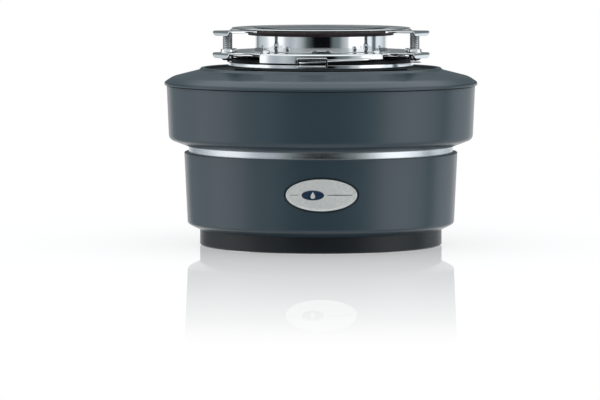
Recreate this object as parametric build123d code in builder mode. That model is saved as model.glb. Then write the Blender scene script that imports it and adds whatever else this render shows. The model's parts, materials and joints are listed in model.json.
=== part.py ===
from build123d import *
import math
import os

os.makedirs("parts", exist_ok=True)

# Kitchen garbage disposal with its three-bolt sink mount.
# Millimetres, +Z up, front of the unit faces -Y, discharge outlet faces +Y.
# The origin is on the centre line, at the underside of the base pan.

# ---------------------------------------------------------------- driving dimensions
# Outer shell
shell_wall = 2.5
base_radius = 80.2
base_step_radius = 79.0
base_step_z = 10.6
base_rim_top = 19.0
base_floor_low = 4.0
base_floor_top = 6.5
shroud_foot_radius = 88.4
shroud_top_radius = 90.6
shroud_top_z = 61.6
band_radius = 87.6
band_thickness = 1.3
bell_low_z = 65.4
bell_belly_radius = 100.9
bell_top_radius = 102.2
parting_z = 105.7
parting_gap = 0.3
cap_radius = 103.7
cap_rim_radius = 77.3
cap_rim_z = 117.6

# Motor
shaft_radius = 6.35
shaft_low_z = 12.0
shaft_top_z = 76.5
running_gap = 0.03
hex_key_flats = 6.5
hex_key_depth = 10.0
end_frame_low_z = 18.0
motor_low_z = 21.0
motor_top_z = 50.0
motor_radius = 68.0
motor_shell_wall = 1.5
core_low_z = 27.0
core_top_z = 43.0
stator_bore = 40.3
rotor_radius = 39.5
slot_count = 24
slot_circle = 48.0
through_bolt_circle = 61.0
through_bolt_radius = 2.2

# Grinding section
frame_radius = 74.0
frame_floor_top = 53.5
ledge_z = 67.5
grind_radius = 65.8
ring_radius = 70.0
ring_top_z = 81.0
turntable_radius = 65.0
turntable_low_z = 68.3
turntable_top_z = 71.3
pin_circle = 42.0
pin_radius = 3.0
pin_gap = 0.06
chamber_radius = 68.5
chamber_wall = 2.0
chamber_shoulder_z = 103.0
neck_radius = 55.0
neck_low_z = 112.0
neck_top_z = 119.5

# Plumbing
outlet_z = 60.0
outlet_face_y = 94.0
outlet_bore = 16.5
tube_radius = 19.05
tube_wall = 1.8
elbow_bend = 27.0
elbow_end_z = 16.0
inlet_angle = 130.0
inlet_z = 92.5
inlet_radius = 11.1
inlet_reach = 122.0

# Sink mount
sleeve_radius = 43.8
sleeve_wall = 1.2
sleeve_low_z = 124.3
flange_radius = 59.4
flange_top_z = 144.0
flange_low_z = 143.2
backup_top_z = 142.8
backup_thickness = 1.4
backup_radius = 60.0
plate_top_z = 128.5
plate_thickness = 1.3
plate_radius = 64.0
ear_reach = 76.0
ear_width = 24.0
ear_lip = 0.9
screw_circle = 70.7
screw_radius = 3.2
ear_angles = (90, 210, 330)
lock_band_radius = 61.3
lock_band_low_z = 117.3
lock_band_top_z = 121.3


# ---------------------------------------------------------------- helpers
def turn(points, mode=Mode.ADD):
    """Revolve a closed outline of (radius, height) points about the vertical axis."""
    with BuildSketch(Plane.XZ) as outline:
        with BuildLine():
            Polyline(*points, close=True)
        make_face()
    revolve(outline.sketch, axis=Axis.Z, mode=mode)


def ring(inner, outer, low, high, mode=Mode.ADD):
    """A plain ring with square edges."""
    turn([(inner, low), (outer, low), (outer, high), (inner, high)], mode)


def discs(radius, low, high, places, mode=Mode.ADD):
    """Upright round solids of one radius, one at each (x, y) place."""
    with BuildSketch(Plane.XY.offset(low)) as outline:
        with Locations(*places):
            Circle(radius)
    extrude(outline.sketch, amount=high - low, mode=mode)


def polar(radius, angle):
    """The (x, y) place at a radius and an angle in degrees."""
    return (radius * math.cos(math.radians(angle)), radius * math.sin(math.radians(angle)))


def radial_plane(angle, height, radius=0.0):
    """A level plane whose local X points outwards at the given angle."""
    x, y = polar(radius, angle)
    return Plane(origin=(x, y, height), x_dir=(*polar(1, angle), 0), z_dir=(0, 0, 1))


def block(plane, x_low, x_high, width, height, mode=Mode.ADD):
    """A box on a plane, from x_low to x_high, centred on the plane's X axis."""
    with BuildSketch(plane) as outline:
        with Locations(((x_low + x_high) / 2, 0)):
            Rectangle(x_high - x_low, width)
    extrude(outline.sketch, amount=height, mode=mode)


def sector(plane, inner, outer, start, end, height, mode=Mode.ADD):
    """A slice of a ring between two angles, measured from the plane's X axis."""
    with BuildSketch(plane) as outline:
        with BuildLine():
            CenterArc((0, 0), outer, start, end - start)
            CenterArc((0, 0), inner, start, end - start)
            Line(polar(inner, start), polar(outer, start))
            Line(polar(inner, end), polar(outer, end))
        make_face()
    extrude(outline.sketch, amount=height, mode=mode)


def back_window(width, height, mode=Mode.SUBTRACT):
    """Cut the opening that the discharge outlet comes out of, through the back."""
    with BuildSketch(Plane(origin=(0, 70, outlet_z), x_dir=(1, 0, 0), z_dir=(0, 1, 0))) as outline:
        RectangleRounded(width, height, 8)
    extrude(outline.sketch, amount=45, mode=mode)


def inlet_plane(radius):
    """An upright plane facing outwards along the dishwasher inlet."""
    x, y = polar(radius, inlet_angle)
    return Plane(origin=(x, y, inlet_z), x_dir=(0, 0, 1), z_dir=(*polar(1, inlet_angle), 0))


def save(piece, name):
    """Label a finished piece and write its STEP file."""
    piece.part.label = name
    export_step(piece.part, f"parts/{name}.step")


# ---------------------------------------------------------------- base and electrical parts
pan_wall = 3.2
post_circle = 62.0
post_angles = (45, 135, 225, 315)
cover_x, cover_length, cover_width = -44.0, 44.0, 58.0
conduit_radius = 11.1
reset_place = (40.0, -24.0)
reset_radius = 4.6

with BuildPart() as base_pan:
    turn([
        (base_radius - pan_wall, 0.8), (base_radius - pan_wall + 0.8, 0), (base_radius - 0.8, 0),
        (base_radius, 0.8), (base_radius, base_step_z), (base_step_radius, base_step_z),
        (base_step_radius, base_rim_top), (base_radius - pan_wall, base_rim_top),
    ])
    ring(0, base_radius - pan_wall, base_floor_low, base_floor_top)
    discs(11, base_floor_top, 9.5, [(0, 0)])
    discs(5, base_floor_top, end_frame_low_z, [polar(post_circle, a) for a in post_angles])
    discs(8, base_floor_low, 9.5, [(0, 0)], Mode.SUBTRACT)
    discs(reset_radius + 0.5, base_floor_low, base_floor_top, [reset_place], Mode.SUBTRACT)
    block(Plane.XY.offset(base_floor_low), cover_x - 18, cover_x + 18, 50, 3, Mode.SUBTRACT)
save(base_pan, "base_pan")

with BuildPart() as wiring_cover:
    with BuildSketch(Plane.XY.offset(base_floor_low - 1.5)):
        with Locations((cover_x, 0)):
            RectangleRounded(cover_length, cover_width, 4)
            Circle(conduit_radius, mode=Mode.SUBTRACT)
            with GridLocations(cover_length - 8, cover_width - 8, 2, 2):
                Circle(1.8, mode=Mode.SUBTRACT)
    extrude(amount=1.5)
    with BuildSketch(Plane.XY.offset(base_floor_low)):
        with Locations((cover_x, 0)):
            Circle(conduit_radius + 2.4)
            Circle(conduit_radius, mode=Mode.SUBTRACT)
    extrude(amount=4.5)
save(wiring_cover, "wiring_cover")

with BuildPart() as cover_screws:
    for x_side in (-1, 1):
        for y_side in (-1, 1):
            place = (cover_x + x_side * (cover_length / 2 - 4), y_side * (cover_width / 2 - 4))
            discs(3.0, base_floor_low - 2.9, base_floor_low - 1.5, [place])
            discs(1.7, base_floor_low - 1.5, base_floor_low, [place])
save(cover_screws, "cover_screws")

with BuildPart() as ground_screw:
    discs(2.0, base_floor_top, 12.0, [(cover_x + 24, 20)])
    discs(4.0, 12.0, 14.0, [(cover_x + 24, 20)])
    with BuildSketch(Plane.XY.offset(13.2)):
        with Locations((cover_x + 24, 20)):
            Rectangle(8, 1.0)
    extrude(amount=0.8, mode=Mode.SUBTRACT)
save(ground_screw, "ground_screw")

with BuildPart() as overload_protector:
    with BuildSketch(Plane.XY.offset(base_floor_top)):
        with Locations(reset_place):
            RectangleRounded(26, 20, 2)
    extrude(amount=11.0)
    discs(reset_radius + 0.5, base_floor_top, 15.5, [reset_place], Mode.SUBTRACT)
save(overload_protector, "overload_protector")

with BuildPart() as reset_button:
    discs(reset_radius, 1.6, 10.0, [reset_place])
    fillet(reset_button.edges().filter_by(GeomType.CIRCLE).sort_by(Axis.Z)[0], 0.8)
save(reset_button, "reset_button")

spring_low_z, spring_top_z, spring_turns = 10.4, 15.0, 4
with BuildPart() as reset_spring:
    with BuildLine(Plane(origin=(*reset_place, spring_low_z))) as coil:
        Helix(pitch=(spring_top_z - spring_low_z) / spring_turns, height=spring_top_z - spring_low_z, radius=3.0)
    with BuildSketch(Plane(origin=coil.line @ 0, z_dir=coil.line % 0)):
        Circle(0.3)
    sweep(is_frenet=True)
save(reset_spring, "reset_spring")

# ---------------------------------------------------------------- motor
bearing_radius = 10.0
hub_radius = 14.0
lower_hub_low_z, lower_hub_top_z = 15.5, 24.5
upper_hub_low_z = 44.5

with BuildPart() as lower_end_frame:
    turn([
        (bearing_radius, lower_hub_low_z), (hub_radius, lower_hub_low_z), (hub_radius, end_frame_low_z),
        (70, end_frame_low_z), (70, motor_low_z), (hub_radius, motor_low_z),
        (hub_radius, lower_hub_top_z), (bearing_radius, lower_hub_top_z),
    ])
    for angle in range(0, 360, 60):
        block(radial_plane(angle + 15, motor_low_z), hub_radius - 1, 64, 3, 1.0)
    discs(through_bolt_radius + 0.3, end_frame_low_z, motor_low_z + 1,
          [polar(through_bolt_circle, a) for a in range(0, 360, 90)], Mode.SUBTRACT)
    for angle in range(30, 360, 60):
        sector(Plane.XY.offset(end_frame_low_z), 28, 52, angle + 6, angle + 24, 3, Mode.SUBTRACT)
save(lower_end_frame, "lower_end_frame")

with BuildPart() as lower_bearing:
    ring(shaft_radius + running_gap, bearing_radius, lower_hub_low_z, lower_hub_top_z)
save(lower_bearing, "lower_bearing")

with BuildPart() as upper_bearing:
    ring(shaft_radius + running_gap, bearing_radius, upper_hub_low_z, frame_floor_top)
save(upper_bearing, "upper_bearing")

with BuildPart() as motor_shell:
    ring(motor_radius - motor_shell_wall, motor_radius, motor_low_z, motor_top_z)
    with BuildSketch(Plane.XY.offset(motor_top_z - 6)):
        with PolarLocations(motor_radius, 8, start_angle=22.5):
            Rectangle(6, 8)
    extrude(amount=-5, mode=Mode.SUBTRACT)
save(motor_shell, "motor_shell")

with BuildPart() as stator_core:
    with BuildSketch(Plane.XY.offset(core_low_z)):
        Circle(motor_radius - motor_shell_wall)
        Circle(stator_bore, mode=Mode.SUBTRACT)
        with PolarLocations(slot_circle, slot_count):
            Rectangle(12, 5, mode=Mode.SUBTRACT)
        with PolarLocations(stator_bore + 1, slot_count):
            Rectangle(4, 2, mode=Mode.SUBTRACT)
        with PolarLocations(through_bolt_circle, 4):
            Circle(through_bolt_radius + 0.3, mode=Mode.SUBTRACT)
    extrude(amount=core_top_z - core_low_z)
save(stator_core, "stator_core")

end_turn_height = 4.2
with BuildPart() as stator_windings:
    ring(43, 54, core_top_z + 0.6, core_top_z + 0.6 + end_turn_height)
    ring(43, 54, core_low_z - 0.6 - end_turn_height, core_low_z - 0.6)
    with BuildSketch(Plane.XY.offset(core_low_z - 1)):
        with PolarLocations(slot_circle, slot_count):
            Rectangle(10, 4.4)
    extrude(amount=core_top_z - core_low_z + 2)
save(stator_windings, "stator_windings")

with BuildPart() as through_bolts:
    bolt_places = [polar(through_bolt_circle, a) for a in range(0, 360, 90)]
    discs(through_bolt_radius, end_frame_low_z, motor_top_z + 2, bolt_places)
    discs(4.2, end_frame_low_z - 2.6, end_frame_low_z, bolt_places)
save(through_bolts, "through_bolts")

with BuildPart() as start_capacitor:
    discs(6.8, 22.0, 45.5, [(76, 0)])
    fillet(start_capacitor.edges().filter_by(GeomType.CIRCLE), 1.0)
    with BuildSketch(Plane.XY.offset(45.5)):
        with Locations((74, 0), (78, 0)):
            Rectangle(0.8, 4.0)
    extrude(amount=3.5)
save(start_capacitor, "start_capacitor")

with BuildPart() as motor_shaft:
    ring(0, shaft_radius, shaft_low_z, shaft_top_z)
    with BuildSketch(Plane.XY.offset(shaft_low_z)):
        RegularPolygon(hex_key_flats / 2, 6, major_radius=False)
    extrude(amount=hex_key_depth, mode=Mode.SUBTRACT)
save(motor_shaft, "motor_shaft")

with BuildPart() as thrust_washer:
    ring(shaft_radius, 9.5, core_low_z - 2.0, core_low_z)
save(thrust_washer, "thrust_washer")

with BuildPart() as rotor_core:
    ring(shaft_radius, rotor_radius, core_low_z, core_top_z)
save(rotor_core, "rotor_core")

with BuildPart() as rotor_end_rings:
    ring(25, 37, core_top_z, core_top_z + 2.2)
    ring(25, 37, core_low_z - 2.2, core_low_z)
    for angle in range(0, 360, 45):
        block(radial_plane(angle, core_top_z + 2.2), 26, 36, 2, 2.0)
save(rotor_end_rings, "rotor_end_rings")

# ---------------------------------------------------------------- grinding section
boss_half_width = 27.0
lug_radius = 6.5
boss_radius = 20.5
boss_start_y = 69.0
flange_screw_radius = 2.5
frame_screw_circle = 76.0
frame_screw_angles = range(0, 360, 60)
seal_radius = 11.0
seal_top_z = 58.0

with BuildPart() as upper_end_frame:
    turn([
        (bearing_radius, upper_hub_low_z), (hub_radius, upper_hub_low_z), (hub_radius, motor_top_z),
        (frame_radius, motor_top_z), (frame_radius, ring_top_z - 3), (79.5, ring_top_z - 3),
        (79.5, ring_top_z), (ring_radius, ring_top_z), (ring_radius, ledge_z),
        (grind_radius + 0.2, ledge_z), (grind_radius + 0.2, frame_floor_top),
        (hub_radius, frame_floor_top), (hub_radius, seal_top_z), (seal_radius, seal_top_z),
        (seal_radius, frame_floor_top), (bearing_radius, frame_floor_top),
    ])
    with BuildSketch(Plane(origin=(0, boss_start_y, outlet_z), x_dir=(1, 0, 0), z_dir=(0, 1, 0))):
        Circle(boss_radius)
        with Locations((-boss_half_width, 0), (boss_half_width, 0)):
            Circle(lug_radius)
        make_hull()
    extrude(amount=outlet_face_y - boss_start_y)
    ring(0, ring_radius, ledge_z, ring_top_z, Mode.SUBTRACT)
    with BuildSketch(Plane(origin=(0, 76, outlet_z), x_dir=(1, 0, 0), z_dir=(0, 1, 0))):
        Circle(outlet_bore)
    extrude(amount=20, mode=Mode.SUBTRACT)
    with BuildSketch(Plane(origin=(0, 76, outlet_z), x_dir=(1, 0, 0), z_dir=(0, 1, 0))):
        with Locations((-boss_half_width, 0), (boss_half_width, 0)):
            Circle(flange_screw_radius)
    extrude(amount=20, mode=Mode.SUBTRACT)
    with BuildSketch(Plane.XY.offset(frame_floor_top)):
        with Locations((0, 68)):
            Rectangle(30, 18)
    extrude(amount=ledge_z - frame_floor_top, mode=Mode.SUBTRACT)
    discs(2.0, ring_top_z - 3, ring_top_z,
          [polar(frame_screw_circle, a) for a in frame_screw_angles], Mode.SUBTRACT)
    discs(through_bolt_radius, motor_top_z, motor_top_z + 2,
          [polar(through_bolt_circle, a) for a in range(0, 360, 90)], Mode.SUBTRACT)
save(upper_end_frame, "upper_end_frame")

with BuildPart() as shaft_seal:
    turn([
        (shaft_radius + 0.3, seal_top_z - 1), (shaft_radius + 1.2, frame_floor_top),
        (seal_radius, frame_floor_top), (seal_radius, seal_top_z), (shaft_radius + 1.2, seal_top_z),
    ])
save(shaft_seal, "shaft_seal")

with BuildPart() as water_slinger:
    turn([
        (shaft_radius, 59), (12, 59), (14.5, 58.6), (14.5, 59.6), (12, 60.6),
        (9, 62.5), (shaft_radius, 62.5),
    ])
save(water_slinger, "water_slinger")

with BuildPart() as shredder_ring:
    ring(grind_radius, ring_radius, ledge_z, ring_top_z)
    with BuildSketch(Plane.XY.offset(turntable_top_z + 1)):
        with PolarLocations(grind_radius, 30):
            Rectangle(4.4, 3.2)
    extrude(amount=ring_top_z - turntable_top_z, mode=Mode.SUBTRACT)
save(shredder_ring, "shredder_ring")

with BuildPart() as turntable:
    ring(shaft_radius, turntable_radius, turntable_low_z, turntable_top_z)
    ring(shaft_radius, 12, 63.2, turntable_low_z)
    for angle in range(45, 360, 90):
        block(radial_plane(angle, turntable_low_z - 3.5), 11, 60, 3, 3.5)
    discs(2.2, turntable_low_z, turntable_top_z,
          [polar(54, a) for a in range(30, 360, 60)], Mode.SUBTRACT)
    discs(pin_radius, turntable_low_z, turntable_top_z,
          [(-pin_circle, 0), (pin_circle, 0)], Mode.SUBTRACT)
save(turntable, "turntable")

with BuildPart() as turntable_nut:
    with BuildSketch(Plane.XY.offset(turntable_top_z)):
        RegularPolygon(9.5, 6, major_radius=False)
        Circle(shaft_radius, mode=Mode.SUBTRACT)
    extrude(amount=4.0)
save(turntable_nut, "turntable_nut")

impeller_low_z = turntable_top_z + 0.3
impeller_plate_top = impeller_low_z + 3.6
impeller_top_z = 82.0
pin_places = [(-pin_circle, 0), (pin_circle, 0)]
with BuildPart() as impeller_pins:
    discs(pin_radius, turntable_low_z, impeller_plate_top + 0.3, pin_places)
    discs(5.2, turntable_low_z - 1.8, turntable_low_z, pin_places)
    discs(5.2, impeller_plate_top + 0.3, impeller_plate_top + 2.1, pin_places)
save(impeller_pins, "impeller_pins")

for letter, angle in (("a", 0), ("b", 180)):
    with BuildPart() as impeller:
        block(radial_plane(angle, impeller_low_z, pin_circle), -8, 18, 13, impeller_plate_top - impeller_low_z)
        fillet(impeller.edges().filter_by(Axis.Z), 4)
        block(radial_plane(angle, impeller_plate_top, pin_circle), 8.5, 17.2, 11.5, impeller_top_z - impeller_plate_top)
        chamfer(impeller.faces().sort_by(Axis.Z)[-1].edges(), 1.2)
        discs(pin_radius + pin_gap, impeller_low_z, impeller_plate_top, [polar(pin_circle, angle)], Mode.SUBTRACT)
    save(impeller, f"impeller_{letter}")

with BuildPart() as chamber_gasket:
    ring(ring_radius + 0.3, 79.5, ring_top_z, ring_top_z + 1)
    discs(2.2, ring_top_z, ring_top_z + 1, [polar(frame_screw_circle, a) for a in frame_screw_angles], Mode.SUBTRACT)
save(chamber_gasket, "chamber_gasket")

chamber_flange_z = ring_top_z + 1
with BuildPart() as grind_chamber:
    turn([
        (chamber_radius - chamber_wall, chamber_flange_z), (79.5, chamber_flange_z),
        (79.5, chamber_flange_z + 2), (chamber_radius, chamber_flange_z + 2),
        (chamber_radius, chamber_shoulder_z), (neck_radius, neck_low_z), (neck_radius, neck_top_z - 2),
        (neck_radius + 1.5, neck_top_z - 2), (neck_radius + 1.5, neck_top_z),
        (neck_radius - chamber_wall, neck_top_z), (neck_radius - chamber_wall, neck_low_z - 1),
        (chamber_radius - chamber_wall, chamber_shoulder_z - 1),
    ])
    discs(2.0, chamber_flange_z, chamber_flange_z + 2,
          [polar(frame_screw_circle, a) for a in frame_screw_angles], Mode.SUBTRACT)
    with BuildSketch(inlet_plane(60)):
        Circle(7.8)
    extrude(amount=12, mode=Mode.SUBTRACT)
save(grind_chamber, "grind_chamber")

with BuildPart() as chamber_screws:
    screw_places = [polar(frame_screw_circle, a) for a in frame_screw_angles]
    discs(1.9, ring_top_z - 3, chamber_flange_z + 2, screw_places)
    discs(3.4, chamber_flange_z + 2, chamber_flange_z + 4.4, screw_places)
save(chamber_screws, "chamber_screws")

# ---------------------------------------------------------------- plumbing
with BuildPart() as dishwasher_inlet:
    with BuildSketch(inlet_plane(66.0)):
        Circle(7.7)
    extrude(amount=16)
    with BuildSketch(inlet_plane(80)):
        Circle(inlet_radius)
    extrude(amount=inlet_reach - 80)
    with BuildSketch(inlet_plane(66.0)):
        Circle(6.2)
    extrude(amount=60, mode=Mode.SUBTRACT)
    with BuildSketch(inlet_plane(84)):
        Circle(8.6)
    extrude(amount=50, mode=Mode.SUBTRACT)
save(dishwasher_inlet, "dishwasher_inlet")

gasket_end_y = outlet_face_y + 1.6
elbow_lip_end_y = gasket_end_y + 2.0
with BuildPart() as outlet_gasket:
    with BuildSketch(Plane(origin=(0, outlet_face_y, outlet_z), x_dir=(1, 0, 0), z_dir=(0, 1, 0))):
        Circle(boss_radius - 0.5)
        Circle(outlet_bore, mode=Mode.SUBTRACT)
    extrude(amount=1.6)
save(outlet_gasket, "outlet_gasket")

with BuildPart() as discharge_elbow:
    with BuildLine() as route:
        FilletPolyline(
            (0, gasket_end_y, outlet_z), (0, gasket_end_y + 6 + elbow_bend, outlet_z),
            (0, gasket_end_y + 6 + elbow_bend, elbow_end_z), radius=elbow_bend,
        )
    with BuildSketch(Plane(origin=route.line @ 0, x_dir=(1, 0, 0), z_dir=route.line % 0)):
        Circle(tube_radius)
        Circle(tube_radius - tube_wall, mode=Mode.SUBTRACT)
    sweep()
    with BuildSketch(Plane(origin=(0, gasket_end_y, outlet_z), x_dir=(1, 0, 0), z_dir=(0, 1, 0))):
        Circle(boss_radius + 0.8)
        Circle(tube_radius - tube_wall, mode=Mode.SUBTRACT)
    extrude(amount=2.0)
save(discharge_elbow, "discharge_elbow")

with BuildPart() as elbow_flange:
    with BuildSketch(Plane(origin=(0, elbow_lip_end_y, outlet_z), x_dir=(1, 0, 0), z_dir=(0, 1, 0))):
        Circle(boss_radius + 2.5)
        with Locations((-boss_half_width, 0), (boss_half_width, 0)):
            Circle(lug_radius)
        make_hull()
        Circle(tube_radius + 0.3, mode=Mode.SUBTRACT)
        with Locations((-boss_half_width, 0), (boss_half_width, 0)):
            Circle(flange_screw_radius + 0.3, mode=Mode.SUBTRACT)
    extrude(amount=2.2)
save(elbow_flange, "elbow_flange")

with BuildPart() as elbow_screws:
    for side in (-boss_half_width, boss_half_width):
        with BuildSketch(Plane(origin=(side, 80, outlet_z), x_dir=(1, 0, 0), z_dir=(0, 1, 0))):
            Circle(flange_screw_radius)
        extrude(amount=elbow_lip_end_y + 2.2 - 80)
        head_plane = Plane(origin=(side, elbow_lip_end_y + 2.2, outlet_z), x_dir=(1, 0, 0), z_dir=(0, 1, 0))
        with BuildSketch(head_plane):
            RegularPolygon(4.0, 6, major_radius=False)
        extrude(amount=3.2)
save(elbow_screws, "elbow_screws")

# ---------------------------------------------------------------- outer shell
badge_z = 38.6
badge_half_width = 23.0
badge_half_height = 10.3
badge_margin = 1.0
badge_rim = 1.3
badge_skin = 88.2
badge_face_radius = 89.8
badge_rim_radius = 90.4
badge_bar_low_z, badge_bar_top_z = 20.0, 58.0


def badge_outline(half_width, half_height, mode=Mode.ADD, x=0.0):
    """A level oval bar that runs out through the front of the shell, at the badge."""
    with BuildSketch(Plane(origin=(x, -70, badge_z), x_dir=(1, 0, 0), z_dir=(0, -1, 0))) as outline:
        Ellipse(half_width, half_height)
    extrude(outline.sketch, amount=30, mode=mode)


with BuildPart() as badge_pocket:
    ring(badge_skin - 0.2, 95, badge_bar_low_z, badge_bar_top_z)
    badge_outline(badge_half_width + badge_margin, badge_half_height + badge_margin, Mode.INTERSECT)

with BuildPart() as lower_shroud:
    with BuildSketch(Plane.XZ):
        with BuildLine():
            Line((79.2, 10.6), (80.4, 10.6))
            Line((80.4, 10.6), (85.6, 13.0))
            ThreePointArc((85.6, 13.0), (87.8, 14.3), (shroud_foot_radius, 16.8))
            Line((shroud_foot_radius, 16.8), (shroud_top_radius, shroud_top_z))
            Line((shroud_top_radius, shroud_top_z), (band_radius, shroud_top_z))
            Line((band_radius, shroud_top_z), (band_radius, 57.0))
            Line((band_radius, 57.0), (shroud_foot_radius - shell_wall, 17.0))
            Line((shroud_foot_radius - shell_wall, 17.0), (84.0, 15.2))
            Line((84.0, 15.2), (79.2, 13.0))
            Line((79.2, 13.0), (79.2, 10.6))
        make_face()
    revolve(axis=Axis.Z)
    add(badge_pocket.part, mode=Mode.SUBTRACT)
    back_window(74, 50)
save(lower_shroud, "lower_shroud")

with BuildPart() as badge_recess:
    ring(badge_face_radius, 92, badge_bar_low_z, badge_bar_top_z)
    badge_outline(badge_half_width - badge_rim, badge_half_height - badge_rim, Mode.INTERSECT)

with BuildPart() as badge_plate:
    ring(badge_skin, badge_rim_radius, badge_bar_low_z, badge_bar_top_z)
    badge_outline(badge_half_width, badge_half_height, Mode.INTERSECT)
    add(badge_recess.part, mode=Mode.SUBTRACT)
save(badge_plate, "badge_plate")

with BuildPart() as badge_emblem:
    ring(badge_face_radius, badge_face_radius + 0.5, badge_bar_low_z, badge_bar_top_z)
    badge_outline(7.4, 3.4, Mode.INTERSECT, x=-5.6)
save(badge_emblem, "badge_emblem")

with BuildPart() as lower_liner:
    ring(83.2, 85.6, 18.0, 56.0)
    back_window(78, 54)
save(lower_liner, "lower_liner")

with BuildPart() as trim_band:
    ring(band_radius - band_thickness, band_radius, 57.0, 68.5)
    back_window(74, 50)
save(trim_band, "trim_band")

with BuildPart() as upper_shroud:
    with BuildSketch(Plane.XZ):
        with BuildLine():
            Line((band_radius, bell_low_z), (94.5, 68.3))
            ThreePointArc((94.5, 68.3), (98.9, 70.2), (bell_belly_radius, 74.0))
            Line((bell_belly_radius, 74.0), (bell_top_radius, parting_z))
            Line((bell_top_radius, parting_z), (bell_top_radius - shell_wall, parting_z))
            Line((bell_top_radius - shell_wall, parting_z), (bell_belly_radius - shell_wall, 74.0))
            Line((bell_belly_radius - shell_wall, 74.0), (93.8, 71.0))
            Line((93.8, 71.0), (band_radius, 68.5))
            Line((band_radius, 68.5), (band_radius, bell_low_z))
        make_face()
    revolve(axis=Axis.Z)
    back_window(74, 50)
    with BuildSketch(inlet_plane(85)):
        Circle(inlet_radius + 0.6)
    extrude(amount=40, mode=Mode.SUBTRACT)
save(upper_shroud, "upper_shroud")

with BuildPart() as upper_liner:
    ring(84.0, 96.0, 76.0, 103.0)
    back_window(78, 54)
    with BuildSketch(inlet_plane(70)):
        Circle(inlet_radius + 1.5)
    extrude(amount=40, mode=Mode.SUBTRACT)
save(upper_liner, "upper_liner")

with BuildPart() as shoulder_cap:
    with BuildSketch(Plane.XZ):
        with BuildLine():
            Line((98.5, parting_z + parting_gap), (cap_radius, parting_z + parting_gap))
            Line((cap_radius, parting_z + parting_gap), (cap_radius, 107.2))
            ThreePointArc((cap_radius, 107.2), (102.2, 109.5), (98.2, 111.6))
            Line((98.2, 111.6), (80.8, 116.0))
            ThreePointArc((80.8, 116.0), (79.9, 117.1), (78.6, cap_rim_z))
            Line((78.6, cap_rim_z), (cap_rim_radius, cap_rim_z))
            Line((cap_rim_radius, cap_rim_z), (cap_rim_radius, 112.2))
            Line((cap_rim_radius, 112.2), (80.2, 112.2))
            Line((80.2, 112.2), (97.0, 108.6))
            Line((97.0, 108.6), (98.5, parting_z + parting_gap))
        make_face()
    revolve(axis=Axis.Z)
save(shoulder_cap, "shoulder_cap")

with BuildPart() as collar_seal:
    turn([
        (neck_radius + 0.3, 112.4), (77.1, 112.4), (77.1, 115.6), (75.4, 115.6), (74.0, 114.4),
        (58.5, 114.2), (neck_radius + 0.3, 114.2),
    ])
save(collar_seal, "collar_seal")

# ---------------------------------------------------------------- rubber parts of the mount
with BuildPart() as mounting_gasket:
    turn([
        (neck_radius, 114.6), (57.2, 114.6), (57.2, 118.4), (59.3, 118.4), (59.3, 122.9),
        (58.7, 123.5), (45.0, 123.5), (45.0, 121.4), (52.8, 119.6), (53.0, neck_top_z),
        (neck_radius + 1.5, neck_top_z), (neck_radius + 1.5, neck_top_z - 2), (neck_radius, neck_top_z - 2),
    ])
save(mounting_gasket, "mounting_gasket")

petal_count = 8
with BuildPart() as splash_baffle:
    turn([
        (8, 111.6), (8, 110.2), (40, 113.2), (46, 112.4), (52.9, 112.4), (52.9, 119.0),
        (50.4, 119.0), (48.6, 115.2), (40, 114.7),
    ])
    for petal in range(petal_count):
        block(radial_plane(petal * 360 / petal_count, 108), 7, 38, 1.2, 12, Mode.SUBTRACT)
save(splash_baffle, "splash_baffle")

# ---------------------------------------------------------------- metal parts of the sink mount
groove_low_z, groove_top_z, groove_depth = 125.7, 127.0, 0.6
with BuildPart() as sink_flange:
    turn([
        (sleeve_radius - sleeve_wall, sleeve_low_z), (sleeve_radius, sleeve_low_z),
        (sleeve_radius, 141.6), (45.6, flange_low_z), (flange_radius - 0.6, flange_low_z),
        (flange_radius, 143.5), (flange_radius - 0.5, 143.9), (57.5, flange_top_z),
        (45.4, flange_top_z), (43.6, 143.2), (sleeve_radius - sleeve_wall, 141.4),
    ])
    ring(sleeve_radius - groove_depth, sleeve_radius + 1, groove_low_z, groove_top_z, Mode.SUBTRACT)
save(sink_flange, "sink_flange")

dome_rise = 0.8
dome_radius = (43.6 ** 2 + dome_rise ** 2) / (2 * dome_rise)
dome_half_angle = math.degrees(math.asin(43.6 / dome_radius))
with BuildPart() as stopper:
    with BuildSketch(Plane.XZ):
        with BuildLine():
            Line((37.0, 131.5), (39.0, 131.5))
            Line((39.0, 131.5), (39.0, 144.1))
            Line((39.0, 144.1), (43.6, 144.1))
            Line((43.6, 144.1), (43.6, 144.3))
            CenterArc((0, 145.1 - dome_radius), dome_radius, 90 - dome_half_angle, dome_half_angle)
            Line((0, 145.1), (0, 143.6))
            Line((0, 143.6), (37.0, 142.9))
            Line((37.0, 142.9), (37.0, 131.5))
        make_face()
    revolve(axis=Axis.Z)
save(stopper, "stopper")

with BuildPart() as stopper_seal:
    turn([(39.0, 136.0), (41.0, 136.4), (42.1, 137.6), (41.0, 138.8), (39.0, 139.2)])
save(stopper_seal, "stopper_seal")


def ear(plate_low, thickness, angle, lip_drop, side_lip):
    """One mounting ear: a flat tab with a rounded, down-turned outer end and, if asked, one side."""
    level = radial_plane(angle, plate_low)
    block(level, 52, ear_reach, ear_width, thickness)
    lip_level = radial_plane(angle, plate_low - lip_drop)
    block(lip_level, ear_reach - ear_lip, ear_reach, ear_width, lip_drop)
    if side_lip:
        side_plane = Plane(
            origin=lip_level.from_local_coords(Vector(0, ear_width / 2 - ear_lip / 2, 0)),
            x_dir=lip_level.x_dir, z_dir=(0, 0, 1),
        )
        block(side_plane, 60, ear_reach, ear_lip, lip_drop)


backup_low_z = backup_top_z - backup_thickness
with BuildPart() as backup_ring:
    ring(sleeve_radius + 2.2, backup_radius, backup_low_z, backup_top_z)
    for angle in ear_angles:
        ear(backup_low_z, backup_thickness, angle, 1.9, True)
save(backup_ring, "backup_ring")

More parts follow.
